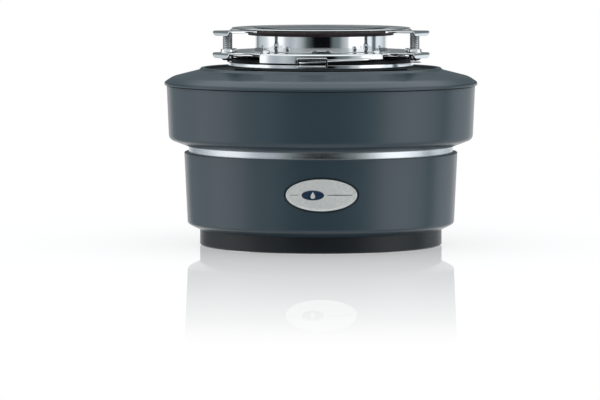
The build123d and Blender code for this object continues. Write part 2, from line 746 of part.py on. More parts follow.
with BuildPart() as fibre_gasket:
    ring(sleeve_radius + 0.6, 48.3, backup_low_z - 2.0, backup_low_z)
save(fibre_gasket, "fibre_gasket")

plate_low_z = plate_top_z - plate_thickness
collar_top_z = 130.9
skirt_radius = 64.0
ramp_angle = 2.8
with BuildPart() as upper_mounting_ring:
    ring(sleeve_radius + 0.4, plate_radius, plate_low_z, plate_top_z)
    for angle in ear_angles:
        ear(plate_low_z, plate_thickness, angle, 3.0, False)
    discs(4.6, plate_top_z, collar_top_z, [polar(screw_circle, a) for a in ear_angles])
    discs(2.6, plate_top_z, collar_top_z - 0.4, [polar(58.5, a + 22) for a in ear_angles])
    discs(2.6, plate_top_z, collar_top_z - 0.4, [polar(58.5, a - 22) for a in ear_angles])
    for angle in ear_angles:
        middle = angle + 60
        sector(radial_plane(middle, 124.4), skirt_radius - 1.3, skirt_radius, -39, 39, plate_low_z - 124.4)
        sector(radial_plane(middle, 121.8), skirt_radius - 1.3, skirt_radius, -39, -14, plate_low_z - 121.8)
        tilt = math.radians(ramp_angle)
        sideways = polar(1, middle + 90)
        ramp_plane = Plane(
            origin=(0, 0, 122.9), x_dir=(*polar(1, middle), 0),
            z_dir=(-math.sin(tilt) * sideways[0], -math.sin(tilt) * sideways[1], math.cos(tilt)),
        )
        sector(ramp_plane, skirt_radius - 1.2, 66.4, -13, 30, 1.2)
    discs(screw_radius + 0.05, 110, 135, [polar(screw_circle, a) for a in ear_angles], Mode.SUBTRACT)
    block(radial_plane(270, plate_low_z - 1), 40, 49.4, 15, 4, Mode.SUBTRACT)
save(upper_mounting_ring, "upper_mounting_ring")

with BuildPart() as snap_ring:
    ring(sleeve_radius - groove_depth, 47.2, groove_low_z + 0.05, groove_top_z - 0.05)
    block(radial_plane(270, groove_low_z), 40, 50, 6, 3, Mode.SUBTRACT)
    for side in (-1, 1):
        tab_plane = Plane(origin=(side * 4.6, -45.6, groove_low_z + 0.05), x_dir=(1, 0, 0), z_dir=(0, 0, 1))
        block(tab_plane, -1.5, 1.5, 2.6, 3.9)
save(snap_ring, "snap_ring")

screw_head_low_z = 123.6
screw_head_top_z = plate_low_z - 0.3
screw_head_radius = 4.0
for letter, angle in zip("abc", ear_angles):
    with BuildPart() as mounting_screw:
        discs(screw_radius, screw_head_top_z, backup_low_z, [polar(screw_circle, angle)])
        discs(screw_head_radius, screw_head_low_z, screw_head_top_z, [polar(screw_circle, angle)])
        chamfer(mounting_screw.faces().sort_by(Axis.Z)[0].edges(), 0.5)
        with BuildSketch(radial_plane(angle, screw_head_low_z, screw_circle)):
            Rectangle(12, 1.2)
        extrude(amount=1.3, mode=Mode.SUBTRACT)
    save(mounting_screw, f"mounting_screw_{letter}")

tab_outer = 70.2
with BuildPart() as lower_mounting_ring:
    turn([
        (57.6, lock_band_low_z), (lock_band_radius, lock_band_low_z), (lock_band_radius, lock_band_top_z),
        (59.8, lock_band_top_z), (59.8, 118.1), (57.6, 118.1),
    ])
    for angle in ear_angles:
        middle = angle + 60
        sector(radial_plane(middle, 119.6), lock_band_radius - 1, tab_outer, -13.5, 3.5, 1.2)
        sector(radial_plane(middle, 119.6), 66.9, tab_outer, 2.3, 3.5, 6.6)
        sector(radial_plane(middle, 125.0), 64.5, tab_outer, -13.5, 3.5, 1.2)
save(lower_mounting_ring, "lower_mounting_ring")
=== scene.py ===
import json
import math

import bmesh
import bpy
from mathutils import Matrix, Vector


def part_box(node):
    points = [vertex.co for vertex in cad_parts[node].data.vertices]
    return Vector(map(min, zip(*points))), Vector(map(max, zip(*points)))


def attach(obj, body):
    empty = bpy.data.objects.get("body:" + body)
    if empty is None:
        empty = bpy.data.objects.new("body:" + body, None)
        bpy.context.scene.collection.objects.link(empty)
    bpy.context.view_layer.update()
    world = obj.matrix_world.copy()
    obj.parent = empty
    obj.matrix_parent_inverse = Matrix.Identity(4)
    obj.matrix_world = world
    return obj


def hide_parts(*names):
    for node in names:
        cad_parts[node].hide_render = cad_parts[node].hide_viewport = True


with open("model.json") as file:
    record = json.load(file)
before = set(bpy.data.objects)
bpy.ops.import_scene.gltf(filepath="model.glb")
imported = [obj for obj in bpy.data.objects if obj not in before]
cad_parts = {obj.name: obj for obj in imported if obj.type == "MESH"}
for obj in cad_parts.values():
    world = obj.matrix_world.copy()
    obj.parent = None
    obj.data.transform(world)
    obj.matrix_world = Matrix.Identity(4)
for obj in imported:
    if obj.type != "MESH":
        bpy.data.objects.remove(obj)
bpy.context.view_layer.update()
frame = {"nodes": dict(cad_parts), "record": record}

# Lengths in this script are in millimetres until MM turns them into Blender's metres.
MM = 0.001
TURN = 2 * math.pi


def polar(radius, angle):
    """The (x, y) place at a radius and an angle in degrees."""
    return radius * math.cos(math.radians(angle)), radius * math.sin(math.radians(angle))


def span(start, end, count):
    """Evenly spaced values from start to end, both included."""
    return [start + (end - start) * i / count for i in range(count + 1)]


def node_size(node):
    """(outer radius, lowest z, highest z) of a round CAD node, in millimetres."""
    low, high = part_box(node)
    return min(-low.x, high.x) / MM, low.z / MM, high.z / MM


def middle_height(node):
    """The height of a CAD node's middle, in millimetres."""
    low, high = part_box(node)
    return (low.z + high.z) / 2 / MM


def circle(radius, count, z=0.0):
    """Points evenly spaced round the upright axis at one height."""
    angles = [TURN * i / count for i in range(count)]
    return [(radius * math.cos(angle), radius * math.sin(angle), z) for angle in angles]


def rectangle(left, right, low, high):
    """The corners of a rectangle, in order."""
    return [(left, low), (right, low), (right, high), (left, high)]


def placed(place, points):
    """Points moved into a place's own axes."""
    return [place @ Vector(point) for point in points]


# ------------------------------------------------------------------ procedural materials
def toned(colour, factor, lift=0.0):
    """A colour made darker or lighter."""
    return tuple(channel * factor + lift for channel in colour)


class Nodes:
    """Short ways to add nodes to a tree."""

    def __init__(self, tree):
        self.tree = tree

    def node(self, kind, inputs=None, **settings):
        made = self.tree.nodes.new(kind)
        for name, value in settings.items():
            setattr(made, name, value)
        for socket, value in (inputs or {}).items():
            if isinstance(value, bpy.types.NodeSocket):
                self.tree.links.new(value, made.inputs[socket])
            else:
                made.inputs[socket].default_value = value
        return made

    def math(self, operation, a, b=0.0):
        return self.node("ShaderNodeMath", {0: a, 1: b}, operation=operation).outputs[0]

    def spread(self, value, low, high, start=0.0, end=1.0, **settings):
        """Map a value from start..end to low..high."""
        sockets = {"Value": value, "From Min": start, "From Max": end, "To Min": low, "To Max": high}
        return self.node("ShaderNodeMapRange", sockets, **settings).outputs["Result"]

    def blend(self, factor, first, second):
        colour_inputs = (6, 7)
        made = self.node("ShaderNodeMix", {0: factor}, data_type="RGBA")
        for index, value in zip(colour_inputs, (first, second)):
            if isinstance(value, bpy.types.NodeSocket):
                self.tree.links.new(value, made.inputs[index])
            else:
                made.inputs[index].default_value = (*value, 1.0)
        return made.outputs[2]


def fill_ramp(node, stops):
    """Set a colour ramp's stops, each a (position from 0 to 1, colour)."""
    ramp = node.color_ramp
    for position, _ in stops[1:-1]:
        ramp.elements.new(position)
    for element, (position, colour) in zip(ramp.elements, stops):
        element.position = position
        element.color = (*colour, 1.0)


class Shader(Nodes):
    """A node material around one Principled shader."""

    def __init__(self, name, **values):
        self.material = bpy.data.materials.new(name)
        self.material.use_nodes = True
        super().__init__(self.material.node_tree)
        self.surface = self.tree.nodes["Principled BSDF"]
        for socket, value in values.items():
            self.surface.inputs[socket.replace("_", " ")].default_value = value
        self.place = self.node("ShaderNodeTexCoord").outputs["Object"]

    def noise(self, scale, detail=3.0, roughness=0.55, place=None, distortion=0.0):
        """Smooth random values from 0 to 1; scale is in waves per metre."""
        sockets = {"Vector": place or self.place, "Scale": scale, "Detail": detail,
                   "Roughness": roughness, "Distortion": distortion}
        return self.node("ShaderNodeTexNoise", sockets).outputs["Fac"]

    def cells(self, scale, feature="F1"):
        return self.node("ShaderNodeTexVoronoi", {"Vector": self.place, "Scale": scale},
                         feature=feature).outputs["Distance"]

    def around(self, about_axis, across):
        """Coordinates that stretch noise into fine lines running round the upright axis."""
        split = self.node("ShaderNodeSeparateXYZ", {"Vector": self.place})
        x, y, z = (split.outputs[i] for i in range(3))
        bearing = self.math("ARCTAN2", x, self.math("MULTIPLY", y, -1.0))
        angle = self.math("MULTIPLY", bearing, about_axis)
        flat = self.node("ShaderNodeCombineXYZ", {"X": x, "Y": y}).outputs[0]
        radius = self.node("ShaderNodeVectorMath", {0: flat}, operation="LENGTH").outputs["Value"]
        height, reach = (self.math("MULTIPLY", value, across) for value in (z, radius))
        return self.node("ShaderNodeCombineXYZ", {"X": angle, "Y": height, "Z": reach}).outputs[0]

    def along(self, scale_x, scale_y, scale_z):
        """Coordinates stretched along the object's own axes."""
        sockets = {"Vector": self.place, "Scale": (scale_x, scale_y, scale_z)}
        return self.node("ShaderNodeMapping", sockets).outputs[0]

    def to(self, socket, value):
        self.tree.links.new(value, self.surface.inputs[socket])

    def tone(self, pattern, dark, light, start=0.0, end=1.0):
        """Colour the surface from dark to light as a pattern goes from start to end."""
        self.to("Base Color", self.blend(self.spread(pattern, 0.0, 1.0, start, end), dark, light))

    def rough(self, pattern, low, high, start=0.0, end=1.0):
        """Dull the surface from low to high as a pattern goes from start to end."""
        self.to("Roughness", self.spread(pattern, low, high, start, end))

    def bump(self, height, depth):
        """Raise the surface by height (0 to 1) times depth, in metres."""
        made = self.node("ShaderNodeBump", {"Height": height, "Strength": 1.0, "Distance": depth})
        self.tree.links.new(made.outputs["Normal"], self.surface.inputs["Normal"])


def slate_paint():
    """Satin slate-blue paint with a fine orange peel and a slight drift in tone."""
    paint = Shader("slate_paint", IOR=1.48, Coat_Weight=0.25, Coat_Roughness=0.22)
    drift = paint.noise(14.0, 3.0)
    speck = paint.noise(5200.0, 1.0)
    tone = paint.blend(drift, (0.019, 0.038, 0.051), (0.023, 0.043, 0.057))
    flecks = paint.spread(speck, 0.0, 0.25, 0.62, 0.8)
    paint.to("Base Color", paint.blend(flecks, tone, (0.09, 0.12, 0.14)))
    paint.rough(paint.noise(900.0, 2.0), 0.28, 0.38)
    fine, broad = paint.noise(1500.0, 2.0), paint.math("MULTIPLY", paint.noise(260.0, 2.0), 0.8)
    paint.bump(paint.math("ADD", fine, broad), 0.000012)
    return paint.material


def moulded_plastic(name, colour, low, high, grain=1900.0, depth=0.00002):
    """Injection-moulded plastic with a fine spark-eroded grain and faint flow marks."""
    plastic = Shader(name, IOR=1.34)
    lighter = toned(colour, 1.5, 0.003)
    plastic.to("Base Color", plastic.blend(plastic.noise(30.0, 4.0, distortion=1.2), colour, lighter))
    plastic.rough(plastic.noise(grain * 0.6, 2.0), low, high)
    plastic.bump(plastic.cells(grain), depth)
    return plastic.material


def rubber(name, colour, depth=0.00003):
    """Dull moulded rubber with a powdery bloom."""
    skin = Shader(name)
    skin.tone(skin.noise(70.0, 5.0, 0.65), colour, toned(colour, 1.8, 0.006), 0.45, 0.8)
    skin.rough(skin.noise(800.0, 2.0), 0.52, 0.74)
    skin.bump(skin.noise(2600.0, 3.0), depth)
    return skin.material


def polished_metal(name, colour, low, high, top_shade=0.62):
    """Bright plated metal with wipe marks and hairlines; faces that point up are darkened as painted shade.
    """
    metal = Shader(name, Metallic=1.0)
    smear = metal.noise(60.0, 4.0, 0.6, distortion=0.8)
    normal = metal.node("ShaderNodeNewGeometry").outputs["Normal"]
    facing = metal.node("ShaderNodeSeparateXYZ", {"Vector": normal})
    # Faces that point up are given a darker colour here: painted shade.
    faces_up_shade = metal.spread(facing.outputs["Z"], 0.0, 1.0, 0.70, 0.97)
    clean = metal.blend(metal.spread(smear, 0.0, 1.0, 0.35, 0.75), colour, toned(colour, 0.9))
    metal.to("Base Color", metal.blend(faces_up_shade, clean, toned(colour, top_shade)))
    hair = metal.noise(1.0, 2.0, place=metal.along(300.0, 4200.0, 900.0))
    smeared, scratched = metal.spread(smear, low, high, 0.3, 0.7), metal.spread(hair, 0.0, 0.03, 0.6, 0.8)
    metal.to("Roughness", metal.math("ADD", smeared, scratched))
    metal.bump(metal.math("ADD", hair, metal.noise(2400.0, 2.0)), 0.0000012)
    return metal.material


def ring_brushed(name, colour, low, high, across=9000.0, anisotropy=0.55):
    """Steel brushed in fine lines that run round the upright axis."""
    metal = Shader(name, Metallic=1.0, Anisotropic=anisotropy)
    lines = metal.noise(1.0, 4.0, 0.7, place=metal.around(5.0, across))
    broad = metal.noise(1.0, 3.0, 0.5, place=metal.around(2.0, across * 0.12))
    mixed = metal.math("ADD", metal.math("MULTIPLY", lines, 0.7), metal.math("MULTIPLY", broad, 0.3))
    metal.tone(mixed, toned(colour, 0.78), colour, 0.35, 0.65)
    metal.rough(mixed, low, high, 0.3, 0.7)
    metal.to("Tangent", metal.node("ShaderNodeTangent", direction_type="RADIAL", axis="Z").outputs[0])
    metal.bump(lines, 0.000004)
    return metal.material


def rolled_sheet(name, colour, low, high, spangle=90.0):
    """Plated or rolled sheet steel with spangle and a slight rolling direction."""
    metal = Shader(name, Metallic=1.0)
    grains = metal.cells(spangle)
    rolling = metal.noise(1.0, 3.0, place=metal.along(60.0, 60.0, 3000.0))
    mixed = metal.math("ADD", metal.math("MULTIPLY", grains, 0.5), metal.math("MULTIPLY", rolling, 0.5))
    metal.tone(mixed, toned(colour, 0.7), colour, 0.2, 0.8)
    metal.rough(mixed, low, high, 0.2, 0.8)
    metal.bump(metal.noise(1800.0, 3.0), 0.000006)
    return metal.material


def cast_metal(name, colour):
    """Sand-cast aluminium: matt, lumpy skin with small pores."""
    metal = Shader(name, Metallic=1.0)
    skin = metal.noise(700.0, 5.0, 0.7)
    pores = metal.spread(metal.cells(1300.0), 0.0, 1.0, 0.0, 0.25)
    metal.tone(skin, toned(colour, 0.55), colour, 0.3, 0.7)
    metal.rough(skin, 0.42, 0.66, 0.3, 0.7)
    metal.bump(metal.math("MULTIPLY", skin, pores), 0.00007)
    return metal.material


def stacked_laminations(name, colour):
    """Thin steel sheets stacked along the shaft, with dark joints between them."""
    metal = Shader(name, Metallic=1.0)
    sheets = metal.node("ShaderNodeTexWave", {"Vector": metal.place, "Scale": 320.0, "Distortion": 0.3},
                        wave_type="BANDS", bands_direction="Z").outputs["Fac"]
    blotch = metal.noise(120.0, 4.0)
    rust = (colour[0] * 1.15, colour[1] * 0.85, colour[2] * 0.7)
    base = metal.blend(metal.spread(blotch, 0.0, 0.6, 0.45, 0.75), colour, rust)
    metal.tone(sheets, toned(colour, 0.35), base, 0.1, 0.45)
    metal.rough(blotch, 0.38, 0.6)
    metal.bump(sheets, 0.00006)
    return metal.material


def wound_wire(name, colour):
    """Enamelled copper wire laid round the stator, under lacquer, darker in the grooves between turns as
    painted shade.
    """
    wire = Shader(name, Metallic=0.85, Coat_Weight=0.6, Coat_Roughness=0.15)
    turns = wire.noise(1.0, 1.0, place=wire.around(9.0, 1500.0))
    # The grooves between turns, low in the bump, are darkened: painted shade.
    wire.tone(turns, toned(colour, 0.35), colour, 0.35, 0.6)
    wire.rough(turns, 0.25, 0.5)
    wire.bump(turns, 0.00025)
    return wire.material


def sintered_bronze(name, colour):
    """Oil-soaked sintered bronze with open pores."""
    metal = Shader(name, Metallic=1.0)
    pores = metal.cells(3000.0)
    oil = metal.noise(160.0, 3.0)
    metal.to("Base Color", metal.blend(oil, toned(colour, 0.6), colour))
    metal.rough(oil, 0.25, 0.5)
    metal.bump(pores, 0.00003)
    return metal.material


def open_cell_foam(name, colour):
    """Charcoal sound-deadening foam, darker in its pores as painted shade."""
    foam = Shader(name, Roughness=0.95, Sheen_Weight=0.25)
    cells = foam.cells(700.0)
    # Dark in the middle of each cell, where the bump sinks a pore: painted shade.
    shade = foam.spread(cells, 0.0, 1.0, 0.0, 0.6)
    foam.to("Base Color", foam.blend(shade, toned(colour, 0.25), colour))
    foam.bump(cells, 0.0006)
    return foam.material


def enamel(name, colour):
    """Glossy fired enamel with a soft drift in depth."""
    glass = Shader(name, IOR=1.52, Coat_Weight=0.8, Coat_Roughness=0.05)
    pool = glass.noise(600.0, 3.0)
    glass.tone(pool, toned(colour, 0.6), colour, 0.3, 0.7)
    glass.rough(pool, 0.18, 0.32)
    glass.bump(pool, 0.000008)
    return glass.material


def satin_silver(name):
    """Fine satin silver, pale from every side, with a short horizontal brush."""
    metal = Shader(name, Metallic=0.4)
    hair = metal.noise(1.0, 3.0, place=metal.along(500.0, 500.0, 7000.0))
    metal.tone(hair, (0.52, 0.53, 0.52), (0.74, 0.75, 0.73), 0.35, 0.65)
    metal.rough(hair, 0.38, 0.52)
    metal.bump(hair, 0.000005)
    return metal.material


MATERIALS = {
    "slate_shell": slate_paint(),
    "black_plastic": moulded_plastic("black_moulding", (0.007, 0.009, 0.011), 0.26, 0.42),
    "brushed_band": ring_brushed("brushed_band_steel", (0.76, 0.79, 0.81), 0.19, 0.32),
    "emblem": enamel("navy_enamel", (0.012, 0.036, 0.075)),
    "chrome": polished_metal("chrome_plate", (0.82, 0.84, 0.85), 0.035, 0.11),
    "stopper_steel": ring_brushed("stopper_steel", (0.74, 0.76, 0.77), 0.09, 0.17, 5200.0, 0.2),
    "black_rubber": rubber("black_rubber", (0.009, 0.010, 0.011)),
    "fibre": rubber("pressed_fibre", (0.022, 0.013, 0.014), 0.00006),
    "stainless": ring_brushed("satin_stainless", (0.62, 0.62, 0.61), 0.24, 0.42, 2600.0, 0.3),
    "cast_aluminium": cast_metal("cast_aluminium", (0.60, 0.61, 0.62)),
    "zinc_steel": rolled_sheet("zinc_plate", (0.66, 0.67, 0.66), 0.24, 0.46),
    "lamination": stacked_laminations("laminations", (0.30, 0.31, 0.33)),
    "copper": wound_wire("enamelled_copper", (0.78, 0.33, 0.14)),
    "bronze": sintered_bronze("sintered_bronze", (0.58, 0.40, 0.18)),
    "foam": open_cell_foam("acoustic_foam", (0.060, 0.060, 0.066)),
    "red_plastic": moulded_plastic("red_moulding", (0.50, 0.012, 0.010), 0.16, 0.30, 1200.0, 0.000006),
    "capacitor_shell": moulded_plastic("capacitor_case", (0.020, 0.020, 0.024), 0.20, 0.34, 900.0, 0.000008),
    "green_screw": enamel("green_lacquer", (0.030, 0.240, 0.070)),
    "spring_steel": rolled_sheet("oiled_spring_steel", (0.40, 0.41, 0.43), 0.18, 0.36, 260.0),
}
SILVER = satin_silver("satin_silver")
SCREW_STEEL = polished_metal("bright_screw_steel", (0.40, 0.41, 0.42), 0.10, 0.20, 0.8)
INK = rubber("grey_ink", (0.10, 0.10, 0.10), 0.000002)
SLOT_OF = {part["node"]: part["material_slot"] for part in frame["record"]["subparts"]}
for node_name, node_object in frame["nodes"].items():
    for node_slot in node_object.material_slots:
        node_slot.material = MATERIALS[SLOT_OF[node_name]]


# ------------------------------------------------------------------ mesh building
def soften(points, closed=True, fillet=0.3, steps=4):
    """Round the corners of an outline. A point is (a, b) or (a, b, its own fillet radius)."""
    made = []
    count = len(points)
    for i, point in enumerate(points):
        here = Vector(point[:2])
        if not closed and i in (0, count - 1):
            made.append(here)
            continue
        before, after = Vector(points[i - 1][:2]), Vector(points[(i + 1) % count][:2])
        back, ahead = before - here, after - here
        radius = point[2] if len(point) > 2 else fillet
        half = back.angle(ahead) / 2
        reach = min(radius / max(math.tan(half), 1e-6), 0.49 * back.length, 0.49 * ahead.length)
        if reach < 1e-4 or abs(half - math.pi / 2) < 0.01:
            made.append(here)
            continue
        start, end = here + back.normalized() * reach, here + ahead.normalized() * reach
        for t in span(0.0, 1.0, steps):
            made.append((1 - t) ** 2 * start + 2 * t * (1 - t) * here + t ** 2 * end)
    return made


def refine(path, longest):
    """Add points so that no stretch of an open path is longer than longest."""
    made = [path[0]]
    for start, end in zip(path, path[1:]):
        pieces = max(1, math.ceil((end - start).length / longest))
        made += [start.lerp(end, i / pieces) for i in range(1, pieces + 1)]
    return made


def grid(mesh, rows, closed=False):
    """Add a sheet of four-sided faces through rows of points, in millimetres."""
    made = [[mesh.verts.new(Vector(p) * MM) for p in row] for row in rows]
    for first, second in zip(made, made[1:]):
        width = len(first)
        for i in range(width if closed else width - 1):
            j = (i + 1) % width
            mesh.faces.new((first[i], first[j], second[j], second[i]))
    return made


def tube(mesh, rows):
    """Add a skin through closed loops of points, with a flat face over each end."""
    made = grid(mesh, rows, closed=True)
    mesh.faces.new(made[0])
    mesh.faces.new(made[-1])


def fan(mesh, ring, point):
    """Close a ring of vertices with triangles that meet at a point."""
    middle = mesh.verts.new(Vector(point) * MM)
    for i in range(len(ring)):
        mesh.faces.new((ring[i], ring[(i + 1) % len(ring)], middle))


def lathe(mesh, outline, segments, place=None):
    """Turn a closed outline of (radius, height) round the upright axis, or round place's Z axis."""
    place = place or Matrix.Identity(4)
    rings = [placed(place, circle(r, segments, z)) for r, z in outline]
    grid(mesh, rings + [rings[0]], closed=True)


def dome(mesh, outline, segments):
    """Turn an open outline that starts and ends on the axis, closing it with fans at its ends."""
    rings = grid(mesh, [circle(r, segments, z) for r, z in outline[1:-1]], closed=True)
    for ring, (_, z) in ((rings[0], outline[0]), (rings[-1], outline[-1])):
        fan(mesh, ring, (0, 0, z))


def heading(path, i):
    """The direction of a path at one of its points."""
    return (Vector(path[min(i + 1, len(path) - 1)]) - Vector(path[max(i - 1, 0)])).normalized()


def sweep(mesh, path, section):
    """Carry a closed section of (sideways, up) points along a level path, with flat ends."""
    up = Vector((0, 0, 1))
    rows = []
    for i, point in enumerate(path):
        side = heading(path, i).cross(up).normalized()
        rows.append([Vector(point) + side * a + up * b for a, b in section])
    tube(mesh, rows)


def linked(name, mesh):
    """Turn a bmesh into an object of the scene."""
    data = bpy.data.meshes.new(name)
    mesh.to_mesh(data)
    mesh.free()
    made = bpy.data.objects.new(name, data)
    bpy.context.scene.collection.objects.link(made)
    return made


def modified(made, modifiers):
    """An object's mesh after some modifiers, each a (kind, settings)."""
    for kind, settings in modifiers:
        modifier = made.modifiers.new(kind.lower(), kind)
        for setting, value in settings.items():
            setattr(modifier, setting, value)
    bpy.context.view_layer.update()
    return bpy.data.meshes.new_from_object(made.evaluated_get(bpy.context.evaluated_depsgraph_get()))


def piece(name, mesh, body, slot, stands_for=(), sharp=38, modifiers=(), finish=None):
    """Turn a bmesh into a finished object that rides on a body."""
    weld = 1e-7
    bmesh.ops.remove_doubles(mesh, verts=mesh.verts, dist=weld)
    bmesh.ops.recalc_face_normals(mesh, faces=mesh.faces)
    made = linked(name, mesh)
    if modifiers:
        unmodified = made.data
        made.data = modified(made, modifiers)
        made.modifiers.clear()
        bpy.data.meshes.remove(unmodified)
    made.data.materials.clear()
    made.data.materials.append(finish or MATERIALS[slot])
    made.data.shade_smooth()
    made.data.set_sharp_from_angle(angle=math.radians(sharp))
    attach(made, body)
    if stands_for:
        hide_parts(*stands_for)


def turned(name, outline, segments, body, slot, node, **options):
    """A piece turned round the upright axis, standing in for a CAD node."""
    mesh = bmesh.new()
    lathe(mesh, outline, segments)
    piece(name, mesh, body, slot, (node,), **options)


def cutter(name, mesh):
    """An object that a Boolean modifier takes away."""
    bmesh.ops.recalc_face_normals(mesh, faces=mesh.faces)
    return linked(name, mesh)


def cut(tool):
    """The modifier that takes a tool's shape away."""
    return "BOOLEAN", {"operation": "DIFFERENCE", "solver": "EXACT", "object": tool}


def carved(mesh, tool):
    """The mesh with a tool's shape taken out of it, as a new mesh to build on."""
    body = cutter("carved", mesh)
    data = modified(body, [cut(tool)])
    made = bmesh.new()
    made.from_mesh(data)
    bpy.data.meshes.remove(data)
    bpy.data.objects.remove(body)
    bpy.data.objects.remove(tool)
    return made


def sheet_metal(thickness, edge=0.22):
    """Modifiers that give a bent sheet its thickness and rounded edges."""
    return (
        ("SOLIDIFY", {"thickness": thickness * MM, "offset": 0.0, "use_even_offset": True}),
        ("BEVEL", {"width": edge * MM, "segments": 2, "limit_method": "ANGLE",
                   "angle_limit": math.radians(50), "harden_normals": False}),
    )


# ------------------------------------------------------------------ outer shell
shell_foot, shroud_low, shroud_top = node_size("lower_shroud")
foot_radius, belly_radius = 88.4, 100.9
wall = 2.5
shell_steps = 288
band_radius, band_low, band_top = node_size("trim_band")
bell_radius, bell_low, bell_top = node_size("upper_shroud")
cap_radius, cap_low, cap_top = node_size("shoulder_cap")
outlet_z = middle_height("elbow_flange")
window_half_x, window_half_z, window_corner = 37.0, 25.0, 8.0
window_from, window_to = 70.0, 120.0
badge_low, badge_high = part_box("badge_plate")
badge_z = middle_height("badge_plate")
badge_half_width = (badge_high.x - badge_low.x) / 2 / MM
badge_half_height = (badge_high.z - badge_low.z) / 2 / MM
badge_rim_radius = -badge_low.y / MM
pocket_margin, pocket_floor = 1.3, 88.0
inlet_z = middle_height("dishwasher_inlet")
inlet_angle, inlet_reach, inlet_radius, inlet_clearance = 130.0, 122.0, 11.1, 0.6
inlet_from, inlet_to = 84.0, 116.0
inlet_place = (Matrix.Translation((0, 0, inlet_z)) @ Matrix.Rotation(math.radians(inlet_angle), 4, "Z")
               @ Matrix.Rotation(math.radians(90), 4, "Y"))


def window_tool():
    """A bar with rounded corners that runs out through the back at the discharge outlet."""
    corners = soften(rectangle(-window_half_x, window_half_x, -window_half_z, window_half_z),
                     fillet=window_corner, steps=8)
    mesh = bmesh.new()
    tube(mesh, [[(x, y, outlet_z + z) for x, z in corners] for y in (window_from, window_to)])
    return cutter("window_tool", mesh)


def inlet_tool():
    """A round bar along the dishwasher inlet."""
    mesh = bmesh.new()
    radius = inlet_radius + inlet_clearance
    tube(mesh, [placed(inlet_place, circle(radius, 64, out)) for out in (inlet_from, inlet_to)])
    return cutter("inlet_tool", mesh)


def badge_pocket_tool():
    """An upright oval bar in front of a curved floor, to sink the badge into the shell."""
    mesh = bmesh.new()
    half_x, half_z = badge_half_width + pocket_margin, badge_half_height + pocket_margin
    front, steps = 96.0, 96
    rings = []
    for share in span(0.0, 1.0, 14)[1:]:
        oval = [(share * half_x * math.cos(TURN * i / steps), share * half_z * math.sin(TURN * i / steps))
                for i in range(steps)]
        rings.append([(x, -math.sqrt(pocket_floor ** 2 - x * x), badge_z + z) for x, z in oval])
    rings.append([(x, -front, z) for x, _, z in rings[-1]])
    made = grid(mesh, rings, closed=True)
    fan(mesh, made[0], (0, -pocket_floor, badge_z))
    mesh.faces.new(made[-1])
    return cutter("badge_pocket_tool", mesh)


def dense(outline, longest=2.0):
    """A closed outline with no long flats, so that cut surfaces still shade evenly."""
    return refine(outline + [outline[0]], longest)[:-1]


def build_shell():
    """The two painted shells, the cap over them and the bright band between."""
    window, pocket, inlet = window_tool(), badge_pocket_tool(), inlet_tool()
    seat = band_radius + 0.02
    parts = (
        ("shell_lower", "lower_shroud", "slate_shell", (window, pocket), 0.3, [
            (79.2, shroud_low), (80.4, shroud_low), (85.6, 13.0, 1.0), (foot_radius, 14.6, 2.6),
            (shell_foot, shroud_top, 0.7), (seat, shroud_top, 0.15), (seat, 57.0),
            (85.9, 17.0), (84.0, 15.2), (79.2, 13.0),
        ]),
        ("shell_band", "trim_band", "brushed_band", (window,), 0.2,
         rectangle(band_radius - 1.3, band_radius, band_low, band_top)),
        ("shell_bell", "upper_shroud", "slate_shell", (window, inlet), 0.3, [
            (seat, bell_low, 0.5), (95.6, 68.4, 1.6), (belly_radius - 0.2, 70.4, 5.0),
            (bell_radius, bell_top, 0.5), (bell_radius - wall, bell_top), (belly_radius - wall, 74.0, 3.0),
            (93.8, 71.0), (seat, 68.5),
        ]),
        ("shell_cap", "shoulder_cap", "slate_shell", (), 0.3, [
            (98.5, cap_low), (cap_radius, cap_low, 0.35), (cap_radius, 108.0, 3.0), (98.2, 111.6, 12.0),
            (80.8, 116.0, 1.2), (79.3, cap_top, 1.0), (77.3, cap_top, 0.6), (77.3, 112.2), (80.2, 112.2),
            (97.0, 108.6),
        ]),
    )
    for name, node, slot, tools, fillet, outline in parts:
        turned(name, dense(soften(outline, fillet=fillet)), shell_steps, "housing", slot, node,
               modifiers=[cut(tool) for tool in tools])
    for tool in (window, pocket, inlet):
        bpy.data.objects.remove(tool)


def oval_plate(mesh, outline, centre, loops, base_radius, segments):
    """A curved plate on the shell's front. A loop is (share of the outline, how far it stands out)."""
    rings = []
    for share, height in loops:
        ring = []
        for i in range(segments):
            x, z = outline(TURN * i / segments, share)
            x += centre[0]
            ring.append((x, -math.sqrt((base_radius + height) ** 2 - x * x), centre[1] + z))
        rings.append(ring)
    made = grid(mesh, rings, closed=True)
    for ring, (_, height) in ((made[0], loops[0]), (made[-1], loops[-1])):
        y = -math.sqrt((base_radius + height) ** 2 - centre[0] ** 2)
        fan(mesh, ring, (centre[0], y, centre[1]))


def inset_oval(half_width, half_height):
    """An oval whose share is how far, in millimetres, it stands in from the full size."""
    def outline(angle, inset):
        return (half_width - inset) * math.cos(angle), (half_height - inset) * math.sin(angle)
    return outline


def droplet(half_width, half_height):
    """A water drop, point up, whose share is its scale."""
    def outline(angle, share):
        turn = angle + math.pi / 2
        narrow = abs(math.sin((turn - math.pi / 2) / 2) ** 1.3)
        return share * half_width * 1.25 * math.cos(turn) * narrow, share * half_height * math.sin(turn)
    return outline


